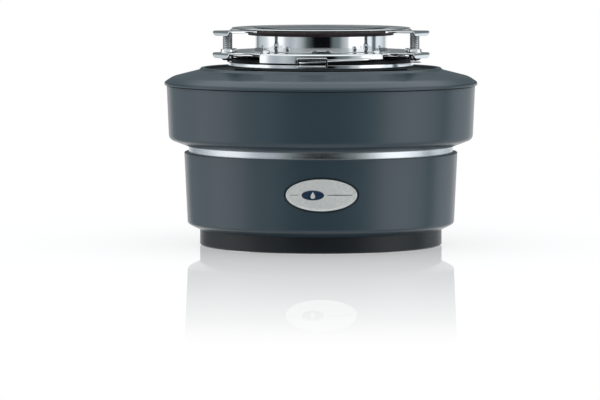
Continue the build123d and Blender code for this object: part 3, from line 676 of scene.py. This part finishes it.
def build_badge():
    """Oval badge: raised rim, satin face, dark emblem with a droplet, and two plain rules."""
    face = -0.5
    emblem_x, half_width, half_height, border = -5.6, 7.4, 3.3, 0.4
    emblem_centre = (emblem_x, badge_z)
    ovals = (
        ("badge", inset_oval(badge_half_width, badge_half_height), (0, badge_z), 160,
         "brushed_band", SILVER, [
            (6.0, -2.1), (0.3, -2.1), (0.0, -1.9), (0.0, -0.3), (0.1, -0.08), (0.3, 0.0), (0.6, -0.05),
            (0.85, -0.3), (0.95, face + 0.05), (1.05, face), (2.0, face), (4.0, face + 0.03),
            (6.0, face + 0.05), (8.0, face + 0.06), (9.6, face + 0.06),
        ]),
        ("badge_emblem_frame", inset_oval(half_width + border, half_height + border), emblem_centre, 96,
         "brushed_band", SILVER, [
            (2.0, face - 0.3), (0.0, face - 0.3), (0.0, face + 0.14), (0.12, face + 0.24),
            (0.35, face + 0.24), (0.5, face + 0.1), (1.6, face + 0.1),
        ]),
        ("badge_enamel", inset_oval(half_width, half_height), emblem_centre, 96, "emblem", None, [
            (2.0, face - 0.2), (0.0, face - 0.2), (0.0, face + 0.12), (0.12, face + 0.2), (0.6, face + 0.26),
            (1.6, face + 0.28), (2.8, face + 0.29),
        ]),
        ("badge_droplet", droplet(1.6, 2.2), emblem_centre, 64, "brushed_band", SILVER, [
            (0.9, face + 0.1), (1.0, face + 0.2), (1.0, face + 0.34), (0.9, face + 0.42), (0.6, face + 0.46),
            (0.3, face + 0.47),
        ]),
    )
    replaced = {"badge": ("badge_plate",), "badge_enamel": ("badge_emblem",)}
    for name, outline, centre, segments, slot, finish, loops in ovals:
        mesh = bmesh.new()
        oval_plate(mesh, outline, centre, loops, badge_rim_radius, segments)
        piece(name, mesh, "housing", slot, replaced.get(name, ()), finish=finish)

    rules = (("badge_rule_left", -20.6, -14.6, 0.16), ("badge_rule_right", 3.4, 20.4, 0.32))
    for name, start, end, swell in rules:
        rule = bmesh.new()
        rows = []
        for x in span(start, end, 24):
            half = swell * max(0.0, math.sin(math.pi * (x - start) / (end - start))) ** 0.3 + 0.02
            section = soften(rectangle(-half, half, -0.2, 0.12), fillet=0.05, steps=3)
            rows.append([(x, -math.sqrt((badge_rim_radius + face + out) ** 2 - x * x), badge_z + up)
                         for up, out in section])
        tube(rule, rows)
        piece(name, rule, "housing", "emblem", finish=INK)


# ------------------------------------------------------------------ plumbing
def build_elbow():
    """Moulded discharge elbow with a collar, two ribs and a parting line."""
    elbow_low, elbow_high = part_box("discharge_elbow")
    tube_radius, tube_wall, bend = 19.05, 1.8, 27.0
    start_y, end_z = elbow_low.y / MM, elbow_low.z / MM
    down_y = elbow_high.y / MM - tube_radius
    route = [(0.0, y, outlet_z) for y in span(start_y, down_y - bend, 4)]
    for angle in span(0.0, 90.0, 28)[1:]:
        across, drop = bend * math.sin(math.radians(angle)), bend * (1 - math.cos(math.radians(angle)))
        route.append((0.0, down_y - bend + across, outlet_z - drop))
    route += [(0.0, down_y, z) for z in span(outlet_z - bend, end_z, 6)[1:]]

    last = len(route) - 1
    outer_radii, inner_radii = [tube_radius] * (last + 1), [tube_radius - tube_wall] * (last + 1)
    outer_radii[last], inner_radii[last] = tube_radius - 0.5, tube_radius - tube_wall + 0.4
    seam_height = 0.22
    side = Vector((1, 0, 0))
    mesh = bmesh.new()
    loops = []
    for radii, order in ((outer_radii, range(last + 1)), (inner_radii, range(last, -1, -1))):
        for i in order:
            point = Vector(route[i])
            up = side.cross(heading(route, i))
            loop = []
            for k in range(96):
                angle = TURN * k / 96
                seam = seam_height if k in (0, 48) and radii is outer_radii and i < last else 0.0
                loop.append(point + (radii[i] + seam) * (side * math.cos(angle) + up * math.sin(angle)))
            loops.append(loop)
    grid(mesh, loops + [loops[0]], closed=True)
    mouth = Matrix.Translation((0, start_y, outlet_z))
    bore = tube_radius - tube_wall + 0.05
    lathe(mesh, soften([(bore, 0.0), (21.3, 0.0), (21.3, 2.0), (19.5, 2.0, 0.2), (19.3, 2.9, 0.8),
                        (tube_radius - 0.6, 4.6, 0.2), (bore, 4.6)]), 96,
          mouth @ Matrix.Rotation(math.radians(-90), 4, "X"))
    for angle in (0.0, 180.0):
        rib = mouth @ Matrix.Rotation(math.radians(angle), 4, "Y")
        profile = [(tube_radius - 0.5, 4.4), (tube_radius + 1.3, 4.4), (tube_radius + 0.15, 11.0),
                   (tube_radius - 0.5, 11.0)]
        tube(mesh, [placed(rib, [(x, along, radius) for radius, along in profile]) for x in (-0.7, 0.7)])
    piece("drain_elbow", mesh, "housing", "black_plastic", ("discharge_elbow",))


def build_inlet():
    """Dishwasher nipple with hose grips cut into it and a rounded mouth."""
    mesh = bmesh.new()
    start, reach, radius = 66.0, inlet_reach, inlet_radius
    grips = []
    for i in range(4):
        top = reach - 2.5 - 5.0 * i
        grips += [(radius, top, 0.25), (radius - 0.75, top - 3.6, 0.2), (radius, top - 3.9, 0.2)]
    outline = [(8.6, reach), (radius - 0.9, reach, 0.7)] + grips + [
        (radius, 92.0), (radius, 80.0), (7.7, 80.0, 0.6), (7.7, start), (6.2, start), (6.2, 84.0),
        (8.6, 84.0, 0.5),
    ]
    lathe(mesh, soften(outline, fillet=0.25), 96, inlet_place)
    piece("dishwasher_nipple", mesh, "housing", "black_plastic", ("dishwasher_inlet",))


# ------------------------------------------------------------------ rubber of the mount
def build_gasket():
    """Ribbed rubber gasket between the chamber's neck and the mounting rings."""
    outer, low, high = node_size("mounting_gasket")
    ribs = []
    for i in range(3):
        z = 119.0 + 1.25 * i
        ribs += [(outer, z, 0.2), (outer, z + 0.65, 0.2), (outer - 0.5, z + 0.8, 0.15),
                 (outer - 0.5, z + 1.1, 0.15)]
    outline = [(55.0, low, 0.4), (57.2, low, 0.5), (57.2, 118.4, 0.4), (outer, 118.4, 0.3)] + ribs + [
        (outer, 122.9, 0.3), (58.7, high, 0.5), (45.0, high, 0.4), (45.0, 121.4, 0.5), (52.8, 119.6, 0.8),
        (53.0, 119.5, 0.1), (56.5, 119.5, 0.1), (56.5, 117.5, 0.1), (55.0, 117.5, 0.1),
    ]
    turned("mount_gasket", soften(outline), 192, "housing", "black_rubber", "mounting_gasket")


# ------------------------------------------------------------------ sink flange and stopper
def build_flange():
    """Pressed sink flange: rolled rim, dished throat and a grooved sleeve."""
    rim, low, high = node_size("sink_flange")
    sleeve, thin = 43.8, 1.2
    turned("flange_and_sleeve", soften([
        (sleeve - thin, low, 0.3), (sleeve, low, 0.3), (sleeve, 125.7, 0.12), (sleeve - 0.6, 125.7, 0.12),
        (sleeve - 0.6, 127.0, 0.12), (sleeve, 127.0, 0.12), (sleeve, 141.6, 1.2), (45.6, 143.2, 1.0),
        (rim - 0.6, 143.2, 0.3), (rim, 143.5, 0.35), (rim - 0.5, 143.9, 0.4), (57.5, high, 1.5),
        (45.4, high, 1.2), (43.6, 143.2, 0.8), (sleeve - thin, 141.4, 0.8),
    ], fillet=0.2), 256, "sink_mount", "chrome", "sink_flange", sharp=50)


def build_stopper():
    """Domed stopper with a turned-down brim, a shallow grip ring and a cup below."""
    _, low, high = node_size("stopper")
    brim, rise = 43.6, 0.8
    domed = (brim ** 2 + rise ** 2) / (2 * rise)
    crown = [(r, high - domed + math.sqrt(domed ** 2 - r * r)) for r in span(42.6, 0.0, 26)]
    grip = [(r, z - (0.14 if 6.5 < r < 8.5 else 0.0)) for r, z in crown]
    mesh = bmesh.new()
    under = [
        (0.0, 143.6), (2.0, 143.6), (36.5, 142.9), (37.0, 142.4), (37.0, low + 0.3), (37.3, low), (38.7, low),
        (39.0, low + 0.3), (39.0, 136.0), (39.0, 143.8), (39.2, 144.1), (43.2, 144.1), (brim, 144.2),
        (43.45, 144.3),
    ]
    dome(mesh, under + grip, 256)
    piece("stopper_cap", mesh, "stopper", "stopper_steel", ("stopper",), sharp=50)
    lip = [(39.0, 135.6), (40.4, 135.8), (42.1, 137.6, 0.5), (40.4, 139.4), (39.0, 139.6), (38.9, 137.6)]
    turned("stopper_lip", soften(lip, fillet=0.4), 192, "stopper", "black_rubber", "stopper_seal")


# ------------------------------------------------------------------ stamped rings with ears
EAR_ANGLES = (90, 210, 330)
EAR_STEPS = 16
ear_run, ear_corner = 4.0, 4.0
screw_circle = 70.7


def ear_point(angle, x, y, z):
    """A point given in an ear's own axes: x outwards, y sideways."""
    c, s = math.cos(math.radians(angle)), math.sin(math.radians(angle))
    return x * c - y * s, x * s + y * c, z


def ear_columns(outer, half_width):
    """Angles, from the ear's own direction, of evenly spaced points across the ear's root."""
    return [math.degrees(math.asin(half_width * t / outer)) for t in span(-1.0, 1.0, EAR_STEPS)]


def add_ear(mesh, angle, outer, level, reach, half_width, root_flare, lip_low, bend, side_lip):
    """One ear of a stamped ring, bent down at its outer end and along its left side.

    side_lip is (start radius, end radius, depth). The root flares over ear_run, from the ring outwards.
    """
    root = half_width + root_flare
    path = refine(soften([(outer + ear_run, level), (reach, level, bend), (reach, lip_low)],
                         closed=False, steps=6), 1.0)
    rows = [[ear_point(angle, *polar(outer, a), level) for a in ear_columns(outer, root)]]
    for t in span(0.0, 1.0, 5)[1:-1]:
        width = half_width + root_flare * (1 - math.sin(math.pi / 2 * t))
        row = []
        for s in span(-1.0, 1.0, EAR_STEPS):
            arc = math.sqrt(outer ** 2 - (root * s) ** 2)
            row.append(ear_point(angle, arc + (outer + ear_run - arc) * t, width * s, level))
        rows.append(row)
    for i, (x, z) in enumerate(path):
        left = sum((b - a).length for a, b in zip(path[i:], path[i + 1:]))
        width = half_width
        if left < ear_corner:
            rounding = math.sqrt(max(ear_corner ** 2 - (ear_corner - left) ** 2, 0.0))
            width = half_width - ear_corner + rounding
        rows.append([ear_point(angle, x, width * s, z) for s in span(-1.0, 1.0, EAR_STEPS)])
    grid(mesh, rows)
    start, end, depth = side_lip
    side = soften([(half_width, level), (half_width + bend, level, bend), (half_width + bend, level - depth)],
                  closed=False, steps=5)
    flat = [x for x, z in path if start <= x <= end and abs(z - level) < 1e-6]
    grid(mesh, [[ear_point(angle, x, y, z) for y, z in side] for x in flat])


def ring_span(mesh, angles, radii, level):
    """A flat stretch of a ring."""
    grid(mesh, [[(*polar(r, a), level) for a in angles] for r in radii])


def build_backup_ring():
    """Flat upper ring that the three screws push against the sink."""
    _, low, high = node_size("backup_ring")
    thick, outer, inner = 1.4, 60.0, 46.0
    level = high - thick / 2
    mesh = bmesh.new()
    root = 15.0
    half = math.degrees(math.asin(root / outer))
    for angle in EAR_ANGLES:
        ring_span(mesh, [angle + a for a in ear_columns(outer, root)], span(inner, outer, 5), level)
        ring_span(mesh, span(angle + half, angle + 120 - half, 44), span(inner, outer, 5), level)
        add_ear(mesh, angle, outer, level, 76.0 - thick / 2, 11.2, root - 11.2, low, 0.9, (64.0, 74.5, 2.3))
    piece("clamp_plate", mesh, "clamp_ring", "chrome", ("backup_ring",), sharp=45,
          modifiers=sheet_metal(thick - 0.1, 0.2))
    # A dark fibre-coloured strip laid over the plate's outer edge between the ears: painted shade.
    edge_shade_strip = bmesh.new()
    section = soften(rectangle(-0.35, 0.06, -0.62, 0.62), fillet=0.05, steps=3)
    for angle in EAR_ANGLES:
        path = [(*polar(outer, a), level) for a in span(angle + half + 1.0, angle + 119 - half, 48)]
        sweep(edge_shade_strip, path, section)
    piece("clamp_painted_edge_shade", edge_shade_strip, "clamp_ring", "fibre", sharp=50)


def build_fibre_ring():
    """Pressed fibre gasket parked under the clamp plate, a little thicker than the CAD's."""
    outer, low, high = node_size("fibre_gasket")
    outline = soften(rectangle(44.5, outer, low - 0.35, high - 0.02), fillet=0.4)
    turned("fibre_ring", outline, 192, "clamp_ring", "fibre", "fibre_gasket")


SKIRT_BEND = 1.6


def skirt(mesh, angles, radius, level, low, deep):
    """The ring's turned-down edge; deep parts carry on below it."""
    edge = soften([(radius - SKIRT_BEND, level), (radius, level, 1.0), (radius, low)], closed=False, steps=5)
    if deep < low:
        edge += [Vector((radius, z)) for z in span(low, deep, 3)[1:]]
    grid(mesh, [[(*polar(r, a), z) for a in angles] for r, z in edge])


def build_mounting_ring():
    """Stamped upper mounting ring: ears, turned-down skirts, ramps, collars and stamped bosses."""
    thick, outer, inner, top = 1.1, 63.4, 44.2, 128.5
    skirt_low, skirt_deep = 124.6, 121.9
    level = top - thick / 2
    fold = outer - SKIRT_BEND
    root = 15.5
    half = math.degrees(math.asin(root / fold))
    mesh = bmesh.new()
    radii = [inner, 47.0, 49.4, 53.0, 57.0, fold]
    notch = math.degrees(math.asin(7.5 / 49.4))
    for angle in EAR_ANGLES:
        middle = angle + 60
        ring_span(mesh, [angle + a for a in ear_columns(fold, root)], radii, level)
        add_ear(mesh, angle, fold, level, 76.0 - thick / 2, 11.4, root - 11.4, 124.9, 1.0, (65.5, 74.0, 3.1))
        stops = [angle + half, middle - 39, middle - 14, middle - notch, middle + notch, middle + 39,
                 angle + 120 - half]
        counts = [4, 14, 4, 10, 16, 4]
        for start, end, count in zip(stops, stops[1:], counts):
            angles = span(start, end, count)
            in_notch = middle == 270 and start == middle - notch
            ring_span(mesh, angles, radii[2:] if in_notch else radii, level)
            if start == middle - 39:
                skirt(mesh, angles, outer, level, skirt_low, skirt_deep)
            elif middle - 14 <= start and end <= middle + 39:
                skirt(mesh, angles, outer, level, skirt_low, skirt_low)
    piece("mount_plate", mesh, "sink_mount", "chrome", ("upper_mounting_ring",), sharp=45,
          modifiers=sheet_metal(thick))

    ramps = bmesh.new()
    ramp_from, ramp_to, ramp_z, ramp_tilt, ramp_radius = -13.0, 30.0, 123.5, 2.8, 64.0
    ramp_root, ramp_tip, round_off, round_over = 62.9, 66.4, 1.6, 4.0
    for angle in EAR_ANGLES:
        middle = angle + 60
        rows = []
        for a in span(ramp_from, ramp_to, 30):
            z = ramp_z + math.tan(math.radians(ramp_tilt)) * ramp_radius * math.sin(math.radians(a))
            past_end = max(0.0, (a - (ramp_to - round_over)) / round_over)
            before_start = max(0.0, (ramp_from + round_over - a) / round_over)
            tip = ramp_tip - round_off * past_end ** 2 - round_off * before_start ** 2
            rows.append([(*polar(r, middle + a), z) for r in span(ramp_root, tip, 4)])
        grid(ramps, rows)
    piece("mount_ramps", ramps, "sink_mount", "chrome", sharp=45, modifiers=sheet_metal(thick, 0.25))

    collars = bmesh.new()
    for angle in EAR_ANGLES:
        at = Matrix.Translation((*polar(screw_circle, angle), 0))
        lathe(collars, soften([(3.3, 127.3), (4.6, 127.3), (4.6, top, 0.1), (5.2, 128.55, 0.1),
                               (4.6, 129.0, 0.4), (4.5, 130.9, 0.4), (3.3, 130.9, 0.3)]), 48, at)
        for offset in (-22, 22):
            boss = Matrix.Translation((*polar(58.5, angle + offset), 0))
            lathe(collars, soften([(0.02, 127.6), (2.6, 127.6), (2.9, top, 0.2), (2.5, 128.9, 0.3),
                                   (2.3, 130.4, 0.4), (0.9, 130.5, 0.2), (0.7, 130.0, 0.2),
                                   (0.02, 130.0)]), 48, boss)
    piece("mount_collars", collars, "sink_mount", "chrome")


def build_snap_ring():
    """Open wire ring in the sleeve's groove, with a turned-up tab at each end."""
    mesh = bmesh.new()
    middle, gap = 45.2, 4.6
    start = 270 + math.degrees(math.asin(3.0 / middle))
    path = [(*polar(middle, a), 126.35) for a in span(start, start + 360 - 2 * (start - 270), 180)]
    section = soften(rectangle(-2.0, 2.0, -0.6, 0.6), fillet=0.35, steps=3)
    sweep(mesh, path, section)
    for side in (-1, 1):
        outline = soften([(-1.5, 126.0), (1.5, 126.0), (1.5, 129.6, 1.4), (-1.5, 129.6, 1.4)],
                         fillet=0.2, steps=6)
        tube(mesh, [[(side * gap + x, y, z) for x, z in outline] for y in (-46.7, -46.4, -44.8, -44.5)])
    piece("snap_wire", mesh, "sink_mount", "spring_steel", ("snap_ring",), sharp=50)


def build_screw(letter, angle):
    """One mounting screw: a slotted head and a rolled thread with a tapered point."""
    node = f"mounting_screw_{letter}"
    low, high = (corner.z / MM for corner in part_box(node))
    head_top, head_radius, radius = low + 3.3, 4.0, 3.2
    pitch, depth, sides = 1.27, 0.26, 48
    slot_half, slot_depth = 0.6, 1.3
    at = Matrix.Translation((*polar(screw_circle, angle), 0))

    head = bmesh.new()
    outline = soften([(0.0, low), (3.0, low, 0.6), (head_radius, low + 0.9, 0.8),
                      (head_radius, low + 3.0, 0.3), (3.4, head_top, 0.2), (0.0, head_top)], closed=False)
    tube(head, [placed(at, circle(r, sides, z)) for r, z in outline[1:-1]])
    slot = bmesh.new()
    corners = rectangle(-6.0, 6.0, low - 1.0, low + slot_depth)
    tube(slot, [placed(at, [(x, y, z) for x, z in corners]) for y in (-slot_half, slot_half)])
    mesh = carved(head, cutter("slot_tool", slot))

    run_in, run_out, point_length, point_taper, sunk = 1.0, 0.9, 0.8, 0.6, 0.3
    rows = []
    for z in span(head_top - sunk, high - 0.02, 100):
        fade = max(0.0, min(1.0, (z - head_top) / run_in, (high - 0.7 - z) / run_out))
        point = point_taper * max(0.0, (z - (high - point_length)) / point_length)
        axis = at @ Vector((0, 0, z))
        row = []
        for k, corner in enumerate(placed(at, circle(1.0, sides, z))):
            ridge = abs(2 * ((z / pitch - k / sides) % 1.0) - 1.0)
            groove = depth * fade * min(1.0, max(0.0, 1.7 * ridge - 0.5))
            row.append(axis + (corner - axis) * (radius - groove - point))
        rows.append(row)
    tube(mesh, rows)
    piece(f"screw_{letter}_threaded", mesh, f"screw_{letter}", "chrome", (node,), sharp=40,
          finish=SCREW_STEEL)


def build_lock_ring():
    """Turned lock ring with a rolled foot and three wrap-over tabs."""
    outer, low, high = 61.3, 117.3, 121.3
    turned("lock_band", soften([
        (57.6, low, 0.3), (outer, low, 0.7), (outer, high, 0.45), (59.9, high, 0.45), (59.9, 118.3, 0.5),
        (57.6, 118.3, 0.4),
    ]), 240, "lock_ring", "chrome", "lower_mounting_ring")
    tabs = bmesh.new()
    thick = 1.1
    lower, upper = 120.2, 125.6
    foot, crest, waist, tip = 60.9, 64.5, 66.9, 70.2
    arc_per_degree = 1.15
    arc_start, arc_end = -13.2 * arc_per_degree, 2.9 * arc_per_degree
    for angle in EAR_ANGLES:
        middle = angle + 60
        strip = refine(soften([(arc_start, lower), (arc_end, lower, 0.9), (arc_end, upper, 0.9),
                               (arc_start, upper)], closed=False, steps=6), 1.2)
        rows = []
        for arc, z in strip:
            lift = (z - lower) / (upper - lower)
            inner = waist if 0.05 < lift < 0.95 else foot + (crest - foot) * min(1.0, lift)
            rows.append([(*polar(r, middle + arc / arc_per_degree), z) for r in span(inner, tip, 4)])
        grid(tabs, rows)
    piece("lock_tabs", tabs, "lock_ring", "chrome", sharp=45, modifiers=sheet_metal(thick, 0.22))


# ------------------------------------------------------------------ studio
def build_world():
    """White tent with grey and black cards round it; plain white to the camera and to the sharp table."""
    world = bpy.data.worlds.new("studio")
    bpy.context.scene.world = world
    world.use_nodes = True
    world.node_tree.nodes.clear()
    studio = Nodes(world.node_tree)

    def smooth(value, start, end):
        return studio.spread(value, 0.0, 1.0, start, end, interpolation_type="SMOOTHSTEP")

    direction = studio.node("ShaderNodeTexCoord").outputs["Generated"]
    split = studio.node("ShaderNodeSeparateXYZ", {"Vector": direction})
    x, y, z = (split.outputs[i] for i in range(3))
    bearing = studio.math("ARCTAN2", x, studio.math("MULTIPLY", y, -1.0))
    share = studio.spread(bearing, 0.0, 1.0, -math.pi, math.pi)
    cards = studio.node("ShaderNodeValToRGB", {"Fac": share})
    gain = 2.0
    white, black = (1.0, 1.0, 1.0), (0.004, 0.005, 0.006)
    soft_left, soft_right = (1.25, 1.27, 1.30), (1.50, 1.54, 1.58)
    cards_by_bearing = [
        (-180, white), (-158, white), (-149, (0.24, 0.29, 0.31)), (-144, (0.26, 0.31, 0.33)),
        (-134, (0.52, 0.57, 0.60)), (-120, (0.62, 0.68, 0.71)), (-110, (0.80, 0.85, 0.88)),
        (-101, soft_left), (-71, soft_left), (-64, (0.62, 0.64, 0.70)), (-56, (0.48, 0.52, 0.57)),
        (-45, (0.58, 0.63, 0.66)), (-36, (0.44, 0.49, 0.51)), (-24, (0.10, 0.12, 0.12)), (-12, black),
        (15, black), (22, (0.14, 0.17, 0.18)), (32, (0.18, 0.22, 0.23)), (38, (0.42, 0.46, 0.48)),
        (47, (0.66, 0.69, 0.71)), (53, soft_right), (78, soft_right), (86, (1.02, 1.10, 1.14)),
        (98, (1.00, 1.09, 1.14)), (103, (0.12, 0.15, 0.16)), (109, (0.12, 0.15, 0.16)),
        (114, (0.94, 1.03, 1.08)), (124, (0.86, 0.95, 1.00)), (136, (0.68, 0.74, 0.78)),
        (147, (0.50, 0.55, 0.58)), (158, white), (180, white),
    ]
    fill_ramp(cards, [((degrees + 180) / 360, tuple(channel / gain for channel in colour))
                      for degrees, colour in cards_by_bearing])
    sockets = {0: cards.outputs["Color"], "Scale": gain}
    round_about = studio.node("ShaderNodeVectorMath", sockets, operation="SCALE")
    behind = studio.math("MULTIPLY", smooth(z, -0.012, 0.012), smooth(y, 0.2, 0.6))
    low_rear, dim, high_rear = (0.52, 0.54, 0.56), (0.17, 0.19, 0.20), (0.16, 0.19, 0.20)
    under, upper, overhead = (0.66, 0.67, 0.67), (0.92, 0.94, 0.96), (1.20, 1.27, 1.30)
    rear = studio.blend(smooth(z, 0.005, 0.045), low_rear, dim)
    rear = studio.blend(smooth(z, 0.10, 0.20), rear, high_rear)
    rear = studio.blend(smooth(z, 0.44, 0.70), rear, overhead)
    colour = studio.blend(smooth(z, -0.30, -0.60), round_about.outputs["Vector"], under)
    colour = studio.blend(smooth(z, 0.10, 0.24), colour, upper)
    colour = studio.blend(smooth(z, 0.45, 0.70), colour, overhead)
    colour = studio.blend(behind, colour, rear)
    path = studio.node("ShaderNodeLightPath")
    plain = studio.math("MAXIMUM", path.outputs["Is Camera Ray"], path.outputs["Is Singular Ray"])
    sockets = {"Color": studio.blend(plain, colour, white), "Strength": 1.0}
    background = studio.node("ShaderNodeBackground", sockets)
    studio.node("ShaderNodeOutputWorld", {"Surface": background.outputs[0]})


def build_floor():
    """Pale table that mirrors the object faintly, less and less with distance."""
    reach = 2.2
    mesh = bmesh.new()
    made = grid(mesh, [circle(r, 96) for r in (1.0, 60.0, 200.0, 700.0, reach / MM)], closed=True)
    mesh.faces.new(made[0])
    floor = linked("floor", mesh)
    floor.location.z = -0.0003
    floor.visible_glossy = False

    sheet = Shader("pale_table")
    white = (1.0, 1.0, 1.0, 1.0)
    distance = sheet.node("ShaderNodeVectorMath", {0: sheet.place}, operation="LENGTH").outputs["Value"]
    mirror_share = sheet.node("ShaderNodeValToRGB", {"Fac": distance})
    fades = [(0.0, 0.44), (0.08, 0.44), (0.20, 0.37), (0.31, 0.29), (0.41, 0.20), (0.51, 0.12), (0.60, 0.03),
             (0.66, 0.0)]
    fill_ramp(mirror_share, [(place, (value, value, value)) for place, value in fades])
    steady = sheet.spread(distance, 0.60, 1.0, 0.10, 0.62)
    glow = sheet.node("ShaderNodeEmission", {"Color": white, "Strength": steady})
    rest = sheet.math("SUBTRACT", 1.0, steady)
    tint = sheet.node("ShaderNodeCombineColor", {"Red": rest, "Green": rest, "Blue": rest}).outputs[0]
    diffuse = sheet.node("ShaderNodeBsdfDiffuse", {"Color": tint})
    table = sheet.node("ShaderNodeAddShader", {0: glow.outputs[0], 1: diffuse.outputs[0]})
    mirror = sheet.node("ShaderNodeBsdfGlossy", {"Color": white, "Roughness": 0.0})
    sockets = {0: mirror_share.outputs["Color"], 1: table.outputs[0], 2: mirror.outputs[0]}
    both = sheet.node("ShaderNodeMixShader", sockets)
    sheet.tree.links.new(both.outputs[0], sheet.tree.nodes["Material Output"].inputs["Surface"])
    floor.data.materials.append(sheet.material)


def build_camera():
    """Long lens a little above the object, looking slightly down at it."""
    place, tilt_down = (-0.01384, -2.97, 0.23856), 4.03
    camera = bpy.data.cameras.new("camera")
    camera.lens = 269.0
    camera.sensor_width = 36.0
    camera.clip_end = 30.0
    eye = bpy.data.objects.new("camera", camera)
    eye.location = place
    eye.rotation_euler = (math.radians(90.0 - tilt_down), 0.0, 0.0)
    bpy.context.scene.collection.objects.link(eye)
    bpy.context.scene.camera = eye


build_shell()
build_badge()
build_elbow()
build_inlet()
build_gasket()
build_flange()
build_stopper()
build_backup_ring()
build_fibre_ring()
build_mounting_ring()
build_snap_ring()
for screw_letter, screw_angle in zip("abc", EAR_ANGLES):
    build_screw(screw_letter, screw_angle)
build_lock_ring()
build_world()
build_floor()
build_camera()
bpy.context.scene.view_settings.view_transform = "Standard"
